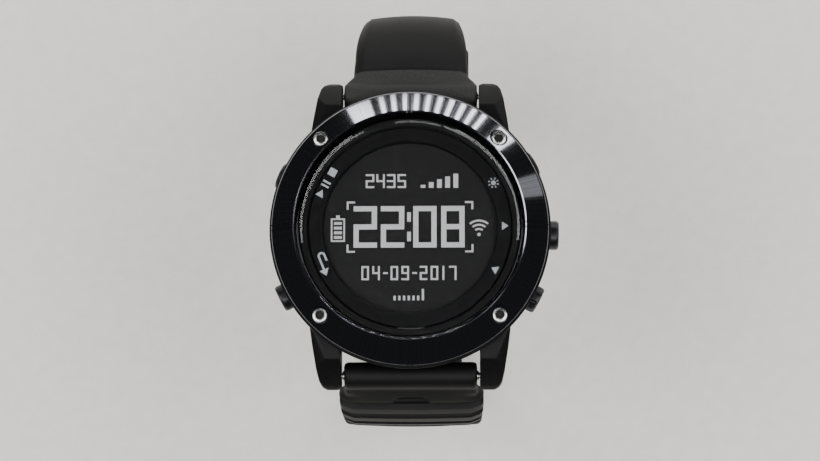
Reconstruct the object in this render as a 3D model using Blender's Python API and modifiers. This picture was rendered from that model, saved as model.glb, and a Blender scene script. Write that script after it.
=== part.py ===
"""A round outdoor smartwatch on a silicone strap, built piece by piece.

Frame: metres, +Z out of the dial, +Y to 12 o'clock, +X to 3 o'clock. The origin is the centre of the
rear cover's outer face. Angles named *_CLOCK are degrees clockwise from 12 o'clock.
"""

import math

import bmesh
import bpy
from mathutils import Matrix, Vector

# ---- Driving dimensions, in metres and degrees ----
GAP = 0.0003                # what touching pieces keep between them
UNDER = 0.0001              # between two stations that would otherwise meet

# case, from the rear face up
CASE_R = 0.0249             # rim of the case, 49.8 mm across
RIM_PROUD = 0.0006          # how far the rim stands out from the side wall
FOOT_SLOPE = 0.0014         # how far the side draws in to the back
CASE_BOTTOM = 0.0012
CASE_TOP = 0.0109
RIM_THICK = 0.0010          # height of the overhanging rim
CASE_WAIST_R = CASE_R - RIM_PROUD
CASE_FOOT_R = CASE_WAIST_R - FOOT_SLOPE
SHELF_R = 0.0181            # the hole that the dial is seen through
SHELF_THICK = 0.0009
BORE_R = 0.0195             # the room inside
FLANGE_R = 0.0176           # rear flange that the cover is screwed to
FLANGE_BOTTOM = 0.0030
FLANGE_TOP = 0.0046

# bezel and crystal
BEZEL_OUTER_R = CASE_R - 0.0004
BEZEL_INNER_R = 0.0201      # inner top edge
BEZEL_SEAT_R = 0.01965      # round the crystal
BEZEL_TOP = 0.0145
BEZEL_EDGE = 0.0117         # height of the outer edge
CRYSTAL_TOP = 0.0132
CRYSTAL_THICK = 0.0013
CRYSTAL_BEVEL = 0.0004
BEZEL_SCREW_CIRCLE = 0.0223
BEZEL_SCREW_CLOCK = 45.0
BEZEL_SCREW_HEAD_R = 0.0013
BEZEL_SCREW_HEAD_H = 0.0008
BEZEL_SCREW_SHANK_R = 0.0007
BEZEL_SCREW_DEPTH = 0.0035  # thread in the case
BEZEL_POCKET_FLOOR = 0.0122
HEX_R = 0.00075             # socket, corner to centre
HEX_DEEP = 0.00045

# dial, display and board
DIAL_WINDOW_R = 0.0152      # the round display window, 30.4 mm across
DIAL_RING_THICK = 0.0010
DISPLAY_R = 0.0166
DISPLAY_THICK = 0.0008
BOARD_R = 0.0175
BOARD_THICK = 0.0008
BOARD_TOP = 0.00875
FLEX_TAIL = (0.008, 0.010, 0.0002)
SHIELD = (0.012, 0.0055, 0.0014)
BATTERY_WIDE = 0.0190
BATTERY_THICK = 0.0034
BATTERY_BOTTOM = 0.0036
CHASSIS_WALL = 0.0007
CHASSIS_PLATE = 0.0005
MOTOR_R = 0.0035
MOTOR_H = 0.0027
BUZZER_R = 0.0070
BUZZER_THICK = 0.00025

# rear cover
COVER_R = 0.0210
COVER_BEVEL = 0.0010
COVER_SCREW_CIRCLE = 0.0197
COVER_SCREW_HEAD_R = 0.0010
COVER_SCREW_HEAD_H = 0.0009
COVER_SCREW_SHANK_R = 0.00055
GASKET_R = 0.01815          # middle of the seal
GASKET_WIDE = 0.0007
CONTACT_BLOCK = (0.0100, 0.0036)
CONTACT_BLOCK_Y = 0.0125
CONTACT_R = 0.0007
CONTACT_PITCH = 0.0022

# buttons: clock angle, how far the cap's face stands out from the case's rim, cap radius
BUTTONS = {
    "start": (-66.0, 0.0008, 0.0024),
    "back": (-117.5, 0.0013, 0.0024),
    "light": (60.5, 0.0006, 0.0024),
    "up": (91.5, 0.0015, 0.0026),
    "down": (118.8, 0.0011, 0.0024),
}
BUTTON_Z = 0.0064
BUTTON_TRAVEL = 0.0006
BUTTON_STEM_R = 0.0010
CAP_SEAT = CASE_WAIST_R - 0.0019    # floor of the cap's pocket, from the watch's axis
CAP_BACK = CAP_SEAT + BUTTON_TRAVEL + 0.0002
SEAL_R = 0.0004
SEAL_GROOVE = 2 * SEAL_R + BUTTON_TRAVEL + GAP
SLOT_AHEAD = 0.0029         # the tongue slot past the strap's end loop, so that the tongue swings through it
SLOT_BEHIND = 0.0025        # and on the side of the case
CLIP_R = 0.0016
CLIP_THICK = 0.0004
SWITCH = (0.0045, 0.0027, 0.0015)
SWITCH_FRONT = 0.0174
BATTERY_ROOM_R = SWITCH_FRONT - SWITCH[2]   # the tray's corners stay inside the switches

# lugs and spring bars
LUG_GAP = 0.0246            # between the lugs, for a 24 mm strap
LUG_WIDE = 0.0049
LUG_TIP = 0.0026            # lug past its spring bar
STRAP_HEAD_R = 0.0024
BAR_Y = CASE_R + 0.0005
BAR_Z = 0.0039
BAR_R = 0.0009
BAR_TIP_R = 0.00055
BAR_TIP = 0.0026            # how far each tip enters its lug
CASE_FLAT_Y = BAR_Y - STRAP_HEAD_R - GAP    # flat between the lugs

# strap, measured along its middle from the spring bar
STRAP_HEAD_WIDE = LUG_GAP - 2 * GAP
STRAP_THICK = 0.0030
STRAP_THIN = 0.0024
STRAP_CHAMFER = 0.0007
STRAP_END_WIDE = 0.0180
UPPER_WIDE = LUG_GAP - 0.0040       # the 12 o'clock half where it leaves its head
UPPER_TURN_WIDE = 0.0180
LOWER_WIDE = LUG_GAP + 0.0014       # the 6 o'clock half just past the lugs
LOWER_TURN_WIDE = LOWER_WIDE - 0.0004
UPPER_FLEX_AT = 0.0300
LOWER_FLEX_AT = 0.0400
STEP_ALONG = 0.0042         # between two sections of the strap
HOLES = 9
HOLE_PITCH = 0.0060
HOLE_R = 0.0013
HOLE_FIRST = 0.0100         # from the strap's end

# buckle and keepers
BUCKLE_BAR_R = 0.00075
BUCKLE_ARM = 0.0024
BUCKLE_LONG = 0.0135
BUCKLE_FRONT = 0.0027
BUCKLE_THICK = 0.0024
BUCKLE_REAR = 0.0021
STRAP_END_R = 0.0021
TONGUE_WIDE = 0.0026
TONGUE_THICK = 0.0013
TONGUE_SLOT = 0.0034
KEEPER_LONG = 0.0050
KEEPER_WALL = 0.0013
KEEPER_ROOM = 0.0060        # inside height: two layers of strap
FIXED_KEEPER_BACK = 0.0100  # from the buckle bar to the keeper's middle
FREE_KEEPER_BACK = 0.0180

STEPS = 52                  # round the case
FINE = 12                   # round a small piece

# ---- Routes: each is a start, a heading below the horizontal, and arcs of (radius, turn) ----
UPPER_START_HEADING = -25.0
UPPER_ROUTE = ((None, 0.0068), (0.0200, 65.0), (0.1000, 9.0), (None, 0.0290))
LOWER_START_HEADING = -55.0
LOWER_ROUTE = ((None, 0.0005), (0.0286, 41.8), (None, 0.0440), (0.0300, 64.0), (0.0600, 12.0))


# ---- Small makers ----
def empty_the_scene():
    for old in list(bpy.data.objects):
        bpy.data.objects.remove(old, do_unlink=True)


def collection(name):
    made = bpy.data.collections.new(name)
    bpy.context.scene.collection.children.link(made)
    return made


def look(name, colour, roughness, metallic=0.0):
    """A Principled material of one colour."""
    made = bpy.data.materials.new(name)
    made.use_nodes = True
    shader = made.node_tree.nodes["Principled BSDF"]
    shader.inputs["Base Color"].default_value = (*colour, 1.0)
    shader.inputs["Roughness"].default_value = roughness
    shader.inputs["Metallic"].default_value = metallic
    return made


def add(name, mesh, material=None, place=None):
    """An object in the watch's collection, or a cutter where it has no material."""
    made = bpy.data.objects.new(name, mesh)
    if material is None:
        CUTTERS.objects.link(made)
        made.hide_render = True
        made.display_type = "WIRE"
    else:
        WATCH.objects.link(made)
        mesh.materials.append(material)
    if place is not None:
        made.matrix_world = place
    return made


def finish(bm, name):
    mesh = bpy.data.meshes.new(name)
    bm.to_mesh(mesh)
    bm.free()
    mesh.shade_smooth()
    mesh.set_sharp_from_angle(angle=math.radians(35))
    return mesh


def turned(name, profile, material=None, place=None, steps=FINE, ring=False):
    """A profile of (radius, height) points turned round local Z, its outer side running down."""
    mesh = bpy.data.meshes.new(name)
    edges = [(i, i + 1) for i in range(len(profile) - 1)]
    if ring:
        edges.append((len(profile) - 1, 0))
    mesh.from_pydata([(r, 0.0, z) for r, z in profile], edges, [])
    made = add(name, mesh, material, place)
    screw = made.modifiers.new("turn", "SCREW")
    screw.axis = "Z"
    screw.steps = screw.render_steps = steps
    screw.use_merge_vertices = True
    screw.merge_threshold = 0.00001
    screw.use_smooth_shade = True
    return made


def rod(name, radius, low, high, material=None, place=None, steps=FINE):
    """A plain cylinder along local Z."""
    return turned(name, [(0, high), (radius, high), (radius, low), (0, low)], material, place, steps)


def washer(name, inner, outer, low, high, material=None, place=None, steps=FINE):
    """A flat ring round local Z."""
    profile = [(inner, high), (outer, high), (outer, low), (inner, low)]
    return turned(name, profile, material, place, steps, ring=True)


def block(name, size, centre, material=None, place=None, bevel=0.0):
    bm = bmesh.new()
    bmesh.ops.create_cube(bm, size=1.0)
    bmesh.ops.scale(bm, vec=size, verts=bm.verts)
    bmesh.ops.translate(bm, vec=centre, verts=bm.verts)
    made = add(name, finish(bm, name), material, place)
    if bevel:
        rounding = made.modifiers.new("rounding", "BEVEL")
        rounding.width = bevel
        rounding.segments = 2
    return made


def plate(name, outline, half_thickness, material=None, place=None):
    """A flat outline of (x, y) points, extruded both ways along local Z, as a mesh."""
    curve = bpy.data.curves.new(name, "CURVE")
    curve.dimensions = "2D"
    curve.fill_mode = "BOTH"
    curve.extrude = half_thickness
    spline = curve.splines.new("POLY")
    spline.points.add(len(outline) - 1)
    for point, (x, y) in zip(spline.points, outline):
        point.co = (x, y, 0.0, 1.0)
    spline.use_cyclic_u = True
    drawn = bpy.data.objects.new(name + "_outline", curve)
    bpy.context.scene.collection.objects.link(drawn)
    shown = drawn.evaluated_get(bpy.context.evaluated_depsgraph_get())
    mesh = bpy.data.meshes.new_from_object(shown)
    bpy.data.objects.remove(drawn, do_unlink=True)
    bm = bmesh.new()
    bm.from_mesh(mesh)
    bmesh.ops.remove_doubles(bm, verts=bm.verts, dist=0.000001)
    bmesh.ops.recalc_face_normals(bm, faces=bm.faces)
    return add(name, finish(bm, name), material, place)


def combine(target, operation, *others):
    for other in others:
        step = target.modifiers.new(other.name, "BOOLEAN")
        step.operation = operation
        step.solver = "EXACT"
        step.object = other


def upright(clock, radius, height=0.0):
    """A place on the dial: clock angle and distance from the middle, with Z up."""
    a = math.radians(clock)
    return Matrix.Translation((radius * math.sin(a), radius * math.cos(a), height))


def outward(clock, height):
    """Local Z runs outward at a clock angle, from the watch's axis; local Y is up."""
    a = math.radians(clock)
    out, up = Vector((math.sin(a), math.cos(a), 0.0)), Vector((0.0, 0.0, 1.0))
    side = up.cross(out)
    turn = Matrix((side, up, out)).transposed().to_4x4()
    return Matrix.Translation((0.0, 0.0, height)) @ turn


def across(y, z):
    """Local Z runs along world X, through the given Y and Z."""
    return Matrix.Translation((0.0, y, z)) @ Matrix.Rotation(math.pi / 2, 4, "Y")


# ---- Case ----
def lug(side, end):
    """One lug: its side outline crossed with its plan, so both shapes are true."""
    inner, tip = LUG_GAP / 2, BAR_Y + LUG_TIP
    outer = inner + LUG_WIDE
    clear = COVER_R + 3 * GAP
    inner_root, outer_root = (math.sqrt(clear ** 2 - x ** 2) for x in (inner, outer + 0.0011))
    name = f"lug_{'right' if side > 0 else 'left'}_{'12' if end > 0 else '6'}"
    plan = [(inner, inner_root), (outer + 0.0011, outer_root), (outer + 0.0008, outer_root + 0.0030),
            (outer, tip - 0.0075),
            (outer - 0.0011, tip - 0.0017), (outer - 0.0023, tip - 0.0003), (inner + 0.0010, tip),
            (inner, tip - 0.0006)]
    shape = plate(name, [(side * x, end * y) for x, y in plan], 0.0080)
    profile = [(0.0120, CASE_TOP - 0.0013), (0.0180, CASE_TOP - 0.0013), (tip - 0.0050, BAR_Z + 0.0047),
               (tip - 0.0008, BAR_Z + 0.0008), (tip, BAR_Z - 0.0006), (tip - 0.0004, BAR_Z - 0.0022),
               (tip - 0.0020, CASE_BOTTOM + 0.0001), (0.0120, CASE_BOTTOM + 0.0001)]
    place = Matrix.Translation((side * (inner + LUG_WIDE / 2), 0.0, 0.0)) @ Matrix(
        ((0, 0, 1, 0), (1, 0, 0, 0), (0, 1, 0, 0), (0, 0, 0, 1)))
    section = plate(name + "_side", [(end * y, z) for y, z in profile], LUG_WIDE, None, place)
    combine(shape, "INTERSECT", section)
    return shape


def case_frame():
    rim_low = CASE_TOP - RIM_THICK
    profile = [(SHELF_R, CASE_TOP), (CASE_R, CASE_TOP), (CASE_R, rim_low),
               (CASE_WAIST_R, rim_low - 0.0006), (CASE_WAIST_R, 0.0035), (CASE_FOOT_R, CASE_BOTTOM),
               (COVER_R + GAP, CASE_BOTTOM), (COVER_R + GAP, FLANGE_BOTTOM), (FLANGE_R, FLANGE_BOTTOM),
               (FLANGE_R, FLANGE_TOP), (BORE_R, FLANGE_TOP), (BORE_R, CASE_TOP - SHELF_THICK),
               (SHELF_R, CASE_TOP - SHELF_THICK)]
    case = turned("case_frame", profile, BLACK_METAL, None, STEPS, ring=True)
    combine(case, "UNION", *[lug(side, end) for side in (1, -1) for end in (1, -1)])
    for end in (1, -1):
        low, high = -0.0010, CASE_TOP - RIM_THICK - 0.0006
        size = (LUG_GAP, 0.0040, high - low)
        centre = (0.0, end * (CASE_FLAT_Y + size[1] / 2), (low + high) / 2)
        reach = LUG_GAP / 2 + BAR_TIP + GAP
        combine(case, "DIFFERENCE", block(f"flat_cutter_{end}", size, centre),
                rod(f"bar_cutter_{end}", BAR_TIP_R + GAP, -reach, reach, None, across(end * BAR_Y, BAR_Z)))
    for clock in screw_clocks():
        hole = upright(clock, BEZEL_SCREW_CIRCLE)
        combine(case, "DIFFERENCE", rod(f"front_screw_cutter_{clock:.0f}", BEZEL_SCREW_SHANK_R + GAP,
                                        CASE_TOP - BEZEL_SCREW_DEPTH - GAP, CASE_TOP + 0.001, None, hole, 10))
        hole = upright(clock, COVER_SCREW_CIRCLE)
        combine(case, "DIFFERENCE", rod(f"rear_screw_cutter_{clock:.0f}", COVER_SCREW_SHANK_R + GAP,
                                        FLANGE_BOTTOM - 0.001, FLANGE_TOP + 0.001, None, hole, 10))
    for name, (clock, proud, cap_r) in BUTTONS.items():
        face = CASE_R + proud
        seal = BUTTON_STEM_R + GAP / 2 + 2 * SEAL_R + GAP / 2
        pocket = [(0, face + 0.004), (cap_r + GAP, face + 0.004), (cap_r + GAP, CAP_SEAT),
                  (seal, CAP_SEAT), (seal, CAP_SEAT - SEAL_GROOVE),
                  (BUTTON_STEM_R + GAP, CAP_SEAT - SEAL_GROOVE),
                  (BUTTON_STEM_R + GAP, BORE_R - 0.0015), (0, BORE_R - 0.0015)]
        combine(case, "DIFFERENCE",
                turned(f"bore_cutter_{name}", pocket, None, outward(clock, BUTTON_Z), 16))


def screw_clocks():
    return [BEZEL_SCREW_CLOCK + 90.0 * i for i in range(4)]


# ---- Bezel, crystal and screws ----
def screw(name, place, head_r, head_low, head_high, shank_r, shank_end, material, hex_r):
    """A hex socket screw along local Z; the head is at the end away from shank_end."""
    up = head_high > shank_end
    bevel = 0.00015
    if up:
        profile = [(0, head_high), (head_r - bevel, head_high), (head_r, head_high - bevel),
                   (head_r, head_low), (shank_r, head_low), (shank_r, shank_end), (0, shank_end)]
        socket = (head_high - HEX_DEEP, head_high + 0.001)
    else:
        profile = [(0, shank_end), (shank_r, shank_end), (shank_r, head_high), (head_r, head_high),
                   (head_r, head_low + bevel), (head_r - bevel, head_low), (0, head_low)]
        socket = (head_low - 0.001, head_low + HEX_DEEP)
    made = turned(name, profile, material, place)
    combine(made, "DIFFERENCE", rod(name + "_socket", hex_r, socket[0], socket[1], None, place, 6))


def bezel():
    bottom = CASE_TOP + GAP
    profile = [(BEZEL_INNER_R, BEZEL_TOP), (BEZEL_INNER_R + 0.0004, BEZEL_TOP),
               (BEZEL_OUTER_R - 0.0002, BEZEL_EDGE + 0.0001), (BEZEL_OUTER_R, BEZEL_EDGE - 0.0001),
               (BEZEL_OUTER_R, bottom), (BEZEL_SEAT_R, bottom), (BEZEL_SEAT_R, CRYSTAL_TOP)]
    ring = turned("bezel", profile, POLISHED_BLACK, None, STEPS, ring=True)
    for i, clock in enumerate(screw_clocks()):
        place = upright(clock, BEZEL_SCREW_CIRCLE)
        wide, narrow = BEZEL_SCREW_HEAD_R + GAP, BEZEL_SCREW_SHANK_R + GAP
        hole = [(0, BEZEL_TOP + 0.001), (wide, BEZEL_TOP + 0.001), (wide, BEZEL_POCKET_FLOOR),
                (narrow, BEZEL_POCKET_FLOOR), (narrow, bottom - 0.001), (0, bottom - 0.001)]
        combine(ring, "DIFFERENCE", turned(f"bezel_hole_{i}", hole, None, place))
        head_low = BEZEL_POCKET_FLOOR + GAP / 2
        screw(f"bezel_screw_{i + 1}", place, BEZEL_SCREW_HEAD_R, head_low, head_low + BEZEL_SCREW_HEAD_H,
              BEZEL_SCREW_SHANK_R, CASE_TOP - BEZEL_SCREW_DEPTH, STEEL, HEX_R)


def crystal():
    r, low = BEZEL_SEAT_R - GAP, CRYSTAL_TOP - CRYSTAL_THICK
    profile = [(0, CRYSTAL_TOP), (r - CRYSTAL_BEVEL, CRYSTAL_TOP), (r, CRYSTAL_TOP - CRYSTAL_BEVEL),
               (r, low), (0, low)]
    turned("crystal", profile, GLASS, None, STEPS)
    washer("crystal_gasket", SHELF_R + GAP / 2, r, CASE_TOP + GAP / 2, low - GAP / 2, RUBBER, None, STEPS)


# ---- Inside ----
def inside():
    ring_top = CRYSTAL_TOP - CRYSTAL_THICK - GAP
    ring_low = ring_top - DIAL_RING_THICK
    washer("dial_ring", DIAL_WINDOW_R, SHELF_R - GAP, ring_low, ring_top, PLASTIC, None, STEPS)
    display_top = ring_low - GAP / 2
    rod("display_module", DISPLAY_R, display_top - DISPLAY_THICK, display_top, SCREEN, None, STEPS)
    tail_y = DISPLAY_R - FLEX_TAIL[1] / 2 - 0.001
    tail_z = (display_top - DISPLAY_THICK + BOARD_TOP) / 2
    block("display_ribbon", FLEX_TAIL, (0, tail_y, tail_z), AMBER)
    rod("circuit_board", BOARD_R, BOARD_TOP - BOARD_THICK, BOARD_TOP, GREEN, None, STEPS)
    under = BOARD_TOP - BOARD_THICK - GAP
    battery_top = BATTERY_BOTTOM + BATTERY_THICK
    tray_wide = BATTERY_WIDE + 2 * (GAP + CHASSIS_WALL)
    shield_y = tray_wide / 2 + 2 * GAP + SHIELD[1] / 2
    block("shield_can", SHIELD, (0, shield_y, under - SHIELD[2] / 2), STEEL)
    motor_place = Matrix.Translation((0, -(tray_wide / 2 + 2 * GAP + MOTOR_R), 0))
    rod("vibration_motor", MOTOR_R, under - MOTOR_H, under, STEEL, motor_place, 20)
    tray_long = 2 * math.sqrt(BATTERY_ROOM_R ** 2 - (tray_wide / 2) ** 2)
    battery_long = tray_long - 2 * (GAP + CHASSIS_WALL)
    block("battery", (battery_long, BATTERY_WIDE, BATTERY_THICK),
          (0, 0, BATTERY_BOTTOM + BATTERY_THICK / 2), SILVER, None, 0.0008)
    top = battery_top + GAP + CHASSIS_PLATE
    low = BATTERY_BOTTOM
    chassis = block("module_chassis", (tray_long, tray_wide, top - low), (0, 0, (top + low) / 2), PLASTIC)
    room = (battery_long + 2 * GAP, BATTERY_WIDE + 2 * GAP, battery_top + GAP - low + 0.001)
    combine(chassis, "DIFFERENCE", block("battery_room", room, (0, 0, low - 0.001 + room[2] / 2)))
    buzzer_low = FLANGE_BOTTOM - GAP + GAP / 2
    rod("buzzer_disc", BUZZER_R, buzzer_low, buzzer_low + BUZZER_THICK, BRASS, None, 32)


# ---- Rear cover ----
def rear_cover():
    top = FLANGE_BOTTOM - GAP
    profile = [(0, top), (COVER_R, top), (COVER_R, COVER_BEVEL), (COVER_R - COVER_BEVEL, 0), (0, 0)]
    cover = turned("rear_cover", profile, BLACK_METAL, None, STEPS)
    inner, outer = GASKET_R - GASKET_WIDE / 2, GASKET_R + GASKET_WIDE / 2
    groove = top - 0.0005
    combine(cover, "DIFFERENCE",
            washer("gasket_groove", inner - GAP / 2, outer + GAP / 2, groove, top + 0.001, None, None, STEPS))
    washer("rear_gasket", inner, outer, groove + GAP / 2, top + GAP / 2, RUBBER, None, STEPS)
    for i, clock in enumerate(screw_clocks()):
        place = upright(clock, COVER_SCREW_CIRCLE)
        head_high = GAP + COVER_SCREW_HEAD_H
        wide, narrow, floor = COVER_SCREW_HEAD_R + GAP, COVER_SCREW_SHANK_R + GAP, head_high + GAP / 2
        hole = [(0, top + 0.001), (narrow, top + 0.001), (narrow, floor), (wide, floor), (wide, -0.001),
                (0, -0.001)]
        combine(cover, "DIFFERENCE", turned(f"cover_hole_{i}", hole, None, place))
        screw(f"rear_screw_{i + 1}", place, COVER_SCREW_HEAD_R, GAP, head_high, COVER_SCREW_SHANK_R,
              FLANGE_TOP - GAP, STEEL, HEX_R * 0.8)
    length, width = CONTACT_BLOCK
    block_top = top - 0.0012
    combine(cover, "DIFFERENCE",
            block("contact_room", (length + 2 * GAP, width + 2 * GAP, block_top + 0.001 + GAP / 2),
                  (0, CONTACT_BLOCK_Y, (block_top - 0.001 + GAP / 2) / 2)))
    base = block("contact_block", (length, width, block_top - GAP),
                 (0, CONTACT_BLOCK_Y, (block_top + GAP) / 2), PLASTIC)
    for i in range(4):
        x = (i - 1.5) * CONTACT_PITCH
        place = Matrix.Translation((x, CONTACT_BLOCK_Y, 0))
        combine(base, "DIFFERENCE", rod(f"contact_cutter_{i}", CONTACT_R + GAP / 2, -0.001, block_top - GAP,
                                        None, place, 12))
        rod(f"charge_contact_{i + 1}", CONTACT_R, GAP / 2, block_top - GAP - GAP / 2, BRASS, place, 12)


# ---- Buttons ----
def button(name, clock, proud, cap_r):
    """A cap and stem in one, with its seal and retaining clip, and the switch that it presses."""
    face = CASE_R + proud
    place = outward(clock, BUTTON_Z)
    clip_out = BORE_R - 0.0004
    stem_end = SWITCH_FRONT + BUTTON_TRAVEL + GAP
    bevel = 0.0004
    profile = [(0, face), (cap_r - bevel, face), (cap_r, face - bevel), (cap_r, CAP_BACK),
               (BUTTON_STEM_R, CAP_BACK), (BUTTON_STEM_R, stem_end), (0, stem_end)]
    turned(f"button_{name}", profile, BLACK_METAL, place, 20)
    middle = BUTTON_STEM_R + GAP / 2 + SEAL_R
    depth = CAP_SEAT - SEAL_R - GAP / 2     # high in its groove, which leaves room for the travel
    rounds = [(middle + SEAL_R * math.cos(t), depth + SEAL_R * math.sin(t))
              for t in (math.radians(90 - 60 * k) for k in range(6))]
    turned(f"button_{name}_seal", rounds, RUBBER, place, FINE, ring=True)
    washer(f"button_{name}_clip", BUTTON_STEM_R + GAP / 2, CLIP_R, clip_out - CLIP_THICK, clip_out, STEEL,
           place)
    wide, high, deep = SWITCH
    board_low = BOARD_TOP - BOARD_THICK
    centre = (0, board_low - GAP - high / 2 - BUTTON_Z, SWITCH_FRONT - deep / 2)
    block(f"switch_{name}", (wide, high, deep), centre, STEEL, place)


# ---- Spring bars and strap ----
def spring_bar(name, end):
    body, reach = LUG_GAP / 2 - GAP, LUG_GAP / 2 + BAR_TIP
    half = [(0, reach), (BAR_TIP_R, reach), (BAR_TIP_R, body), (BAR_R, body)]
    profile = half + [(r, -z) for r, z in reversed(half)]
    turned(name, profile, STEEL, across(end * BAR_Y, BAR_Z), 12)


def along(route, heading, distance):
    """The point (outward, up) and heading at a distance along a strap half, from its spring bar."""
    y, z, left = BAR_Y, BAR_Z, distance
    for radius, amount in route:
        h = math.radians(heading)
        length = amount if radius is None else radius * math.radians(amount)
        part = min(left, length)
        if radius is None:
            y, z = y + part * math.cos(h), z + part * math.sin(h)
        else:
            turn = part / radius
            cy, cz = y + radius * math.sin(h), z - radius * math.cos(h)
            y, z = cy - radius * math.sin(h - turn), cz + radius * math.cos(h - turn)
            heading -= math.degrees(turn)
        left -= part
        if left <= 0:
            break
    h = math.radians(heading)
    return y + left * math.cos(h), z + left * math.sin(h), heading


def route_length(route):
    return sum(a if r is None else r * math.radians(a) for r, a in route)


def blend_width(distance, stops):
    """A width read between stops of (distance, width), eased at each."""
    for (d0, w0), (d1, w1) in zip(stops, stops[1:]):
        if distance <= d1:
            t = max(0.0, (distance - d0) / (d1 - d0))
            return w0 + (w1 - w0) * t
    return stops[-1][1]


def on_strap(half, distance):
    """Local Y runs along the strap towards its end, local Z outward through it, X across."""
    y, z, heading = along(half["route"], half["heading"], distance)
    h, end = math.radians(heading), half["end"]
    forward = Vector((0.0, end * math.cos(h), math.sin(h)))
    face = Vector((0.0, -end * math.sin(h), math.cos(h)))
    turn = Matrix((forward.cross(face), forward, face)).transposed().to_4x4()
    return Matrix.Translation((0.0, end * y, z)) @ turn


def pin_place(half, distance):
    """Local Z runs across the strap."""
    return on_strap(half, distance) @ Matrix.Rotation(math.pi / 2, 4, "Y")


def even(half, first, last):
    """Stations of (distance, half thickness) along a plain length of strap."""
    count = max(2, round((last - first) / STEP_ALONG))
    return [(d, half["thick"](d) / 2) for d in
            (first + (last - first) * k / count for k in range(count + 1))]


def rounding(centre, radius, angles):
    """Stations that follow a cylinder across the strap, at angles from its middle plane."""
    return [(centre + radius * math.sin(math.radians(a)), radius * math.cos(math.radians(a)))
            for a in angles]


def band(name, half, stations):
    """A length of strap, lofted between chamfered sections along its route."""
    bm = bmesh.new()
    loops = []
    for d, t in stations:
        w = blend_width(d, half["widths"]) / 2
        c = min(STRAP_CHAMFER, t / 2)
        place = on_strap(half, d)
        outline = [(w - c, t), (w, t - c), (w, c - t), (w - c, -t),
                   (c - w, -t), (-w, c - t), (-w, t - c), (c - w, t)]
        loops.append([bm.verts.new(place @ Vector((x, 0.0, z))) for x, z in outline])
    for a, b in zip(loops, loops[1:]):
        for i in range(8):
            j = (i + 1) % 8
            bm.faces.new((a[i], a[j], b[j], b[i]))
    bm.faces.new(loops[0])
    bm.faces.new(loops[-1])
    bmesh.ops.recalc_face_normals(bm, faces=bm.faces)
    return add(name, finish(bm, name), SILICONE)


def strap_half(half, name, flex_at, ending):
    """Both lengths of one strap half: the head end and the free end, parted at the flex line."""
    radius = half["thick"](flex_at) / 2
    root = band(name, half, even(half, 0.0, flex_at - radius - GAP))
    bar = across(half["end"] * BAR_Y, BAR_Z)
    wide = STRAP_HEAD_WIDE / 2
    combine(root, "UNION", rod(name + "_head", STRAP_HEAD_R, -wide, wide, None, bar, 20))
    combine(root, "DIFFERENCE", rod(name + "_bore", BAR_R + GAP, -wide - 0.001, wide + 0.001, None, bar, 12))
    return band(name + "_end", half, rounding(flex_at, radius, (-75, -50, -25)) + ending)


def thickness(length):
    return lambda d: STRAP_THICK + (STRAP_THIN - STRAP_THICK) * min(1.0, d / length)


def lower_strap():
    length = route_length(LOWER_ROUTE)
    half = {"end": -1, "route": LOWER_ROUTE, "heading": LOWER_START_HEADING, "thick": thickness(length),
            "widths": [(0.0, STRAP_HEAD_WIDE - 0.0004), (0.0035, STRAP_HEAD_WIDE - 0.0004),
                       (0.0060, LOWER_WIDE), (0.0090, LOWER_WIDE), (0.0180, LOWER_TURN_WIDE),
                       (0.0600, STRAP_END_WIDE + 0.0005), (length - 0.006, STRAP_END_WIDE),
                       (length, STRAP_END_WIDE * 0.55)]}
    tail = strap_half(half, "strap_6", LOWER_FLEX_AT, even(half, LOWER_FLEX_AT, length))
    for k in range(HOLES):
        place = on_strap(half, length - HOLE_FIRST - k * HOLE_PITCH)
        combine(tail, "DIFFERENCE", rod(f"strap_hole_{k}", HOLE_R, -0.003, 0.003, None, place, 12))


def upper_strap():
    length = route_length(UPPER_ROUTE)
    half = {"end": 1, "route": UPPER_ROUTE, "heading": UPPER_START_HEADING, "thick": thickness(length),
            "widths": [(0.0, UPPER_WIDE), (0.0040, UPPER_WIDE), (0.0240, UPPER_TURN_WIDE),
                       (length, STRAP_END_WIDE)]}
    meets = math.degrees(math.acos(half["thick"](length) / 2 / STRAP_END_R))
    eye = rounding(length, STRAP_END_R, (-meets, -meets / 2, 0, 25, 50, 75))
    before = length - STRAP_END_R * math.sin(math.radians(meets)) - UNDER
    tail = strap_half(half, "strap_12", UPPER_FLEX_AT, even(half, UPPER_FLEX_AT, before) + eye)
    end, pin = on_strap(half, length), pin_place(half, length)
    wide = STRAP_END_WIDE / 2
    ahead, behind = STRAP_END_R + SLOT_AHEAD, STRAP_END_R + SLOT_BEHIND
    slot = (TONGUE_SLOT, ahead + behind, 0.0080)
    combine(tail, "DIFFERENCE",
            rod("strap_end_bore", BUCKLE_BAR_R + GAP, -wide - 0.001, wide + 0.001, None, pin, 12),
            block("tongue_slot", slot, (0, (ahead - behind) / 2, 0), None, end))
    buckle(end, pin)
    keeper("keeper_fixed", half, length - FIXED_KEEPER_BACK)
    keeper("keeper_free", half, length - FREE_KEEPER_BACK)


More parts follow.
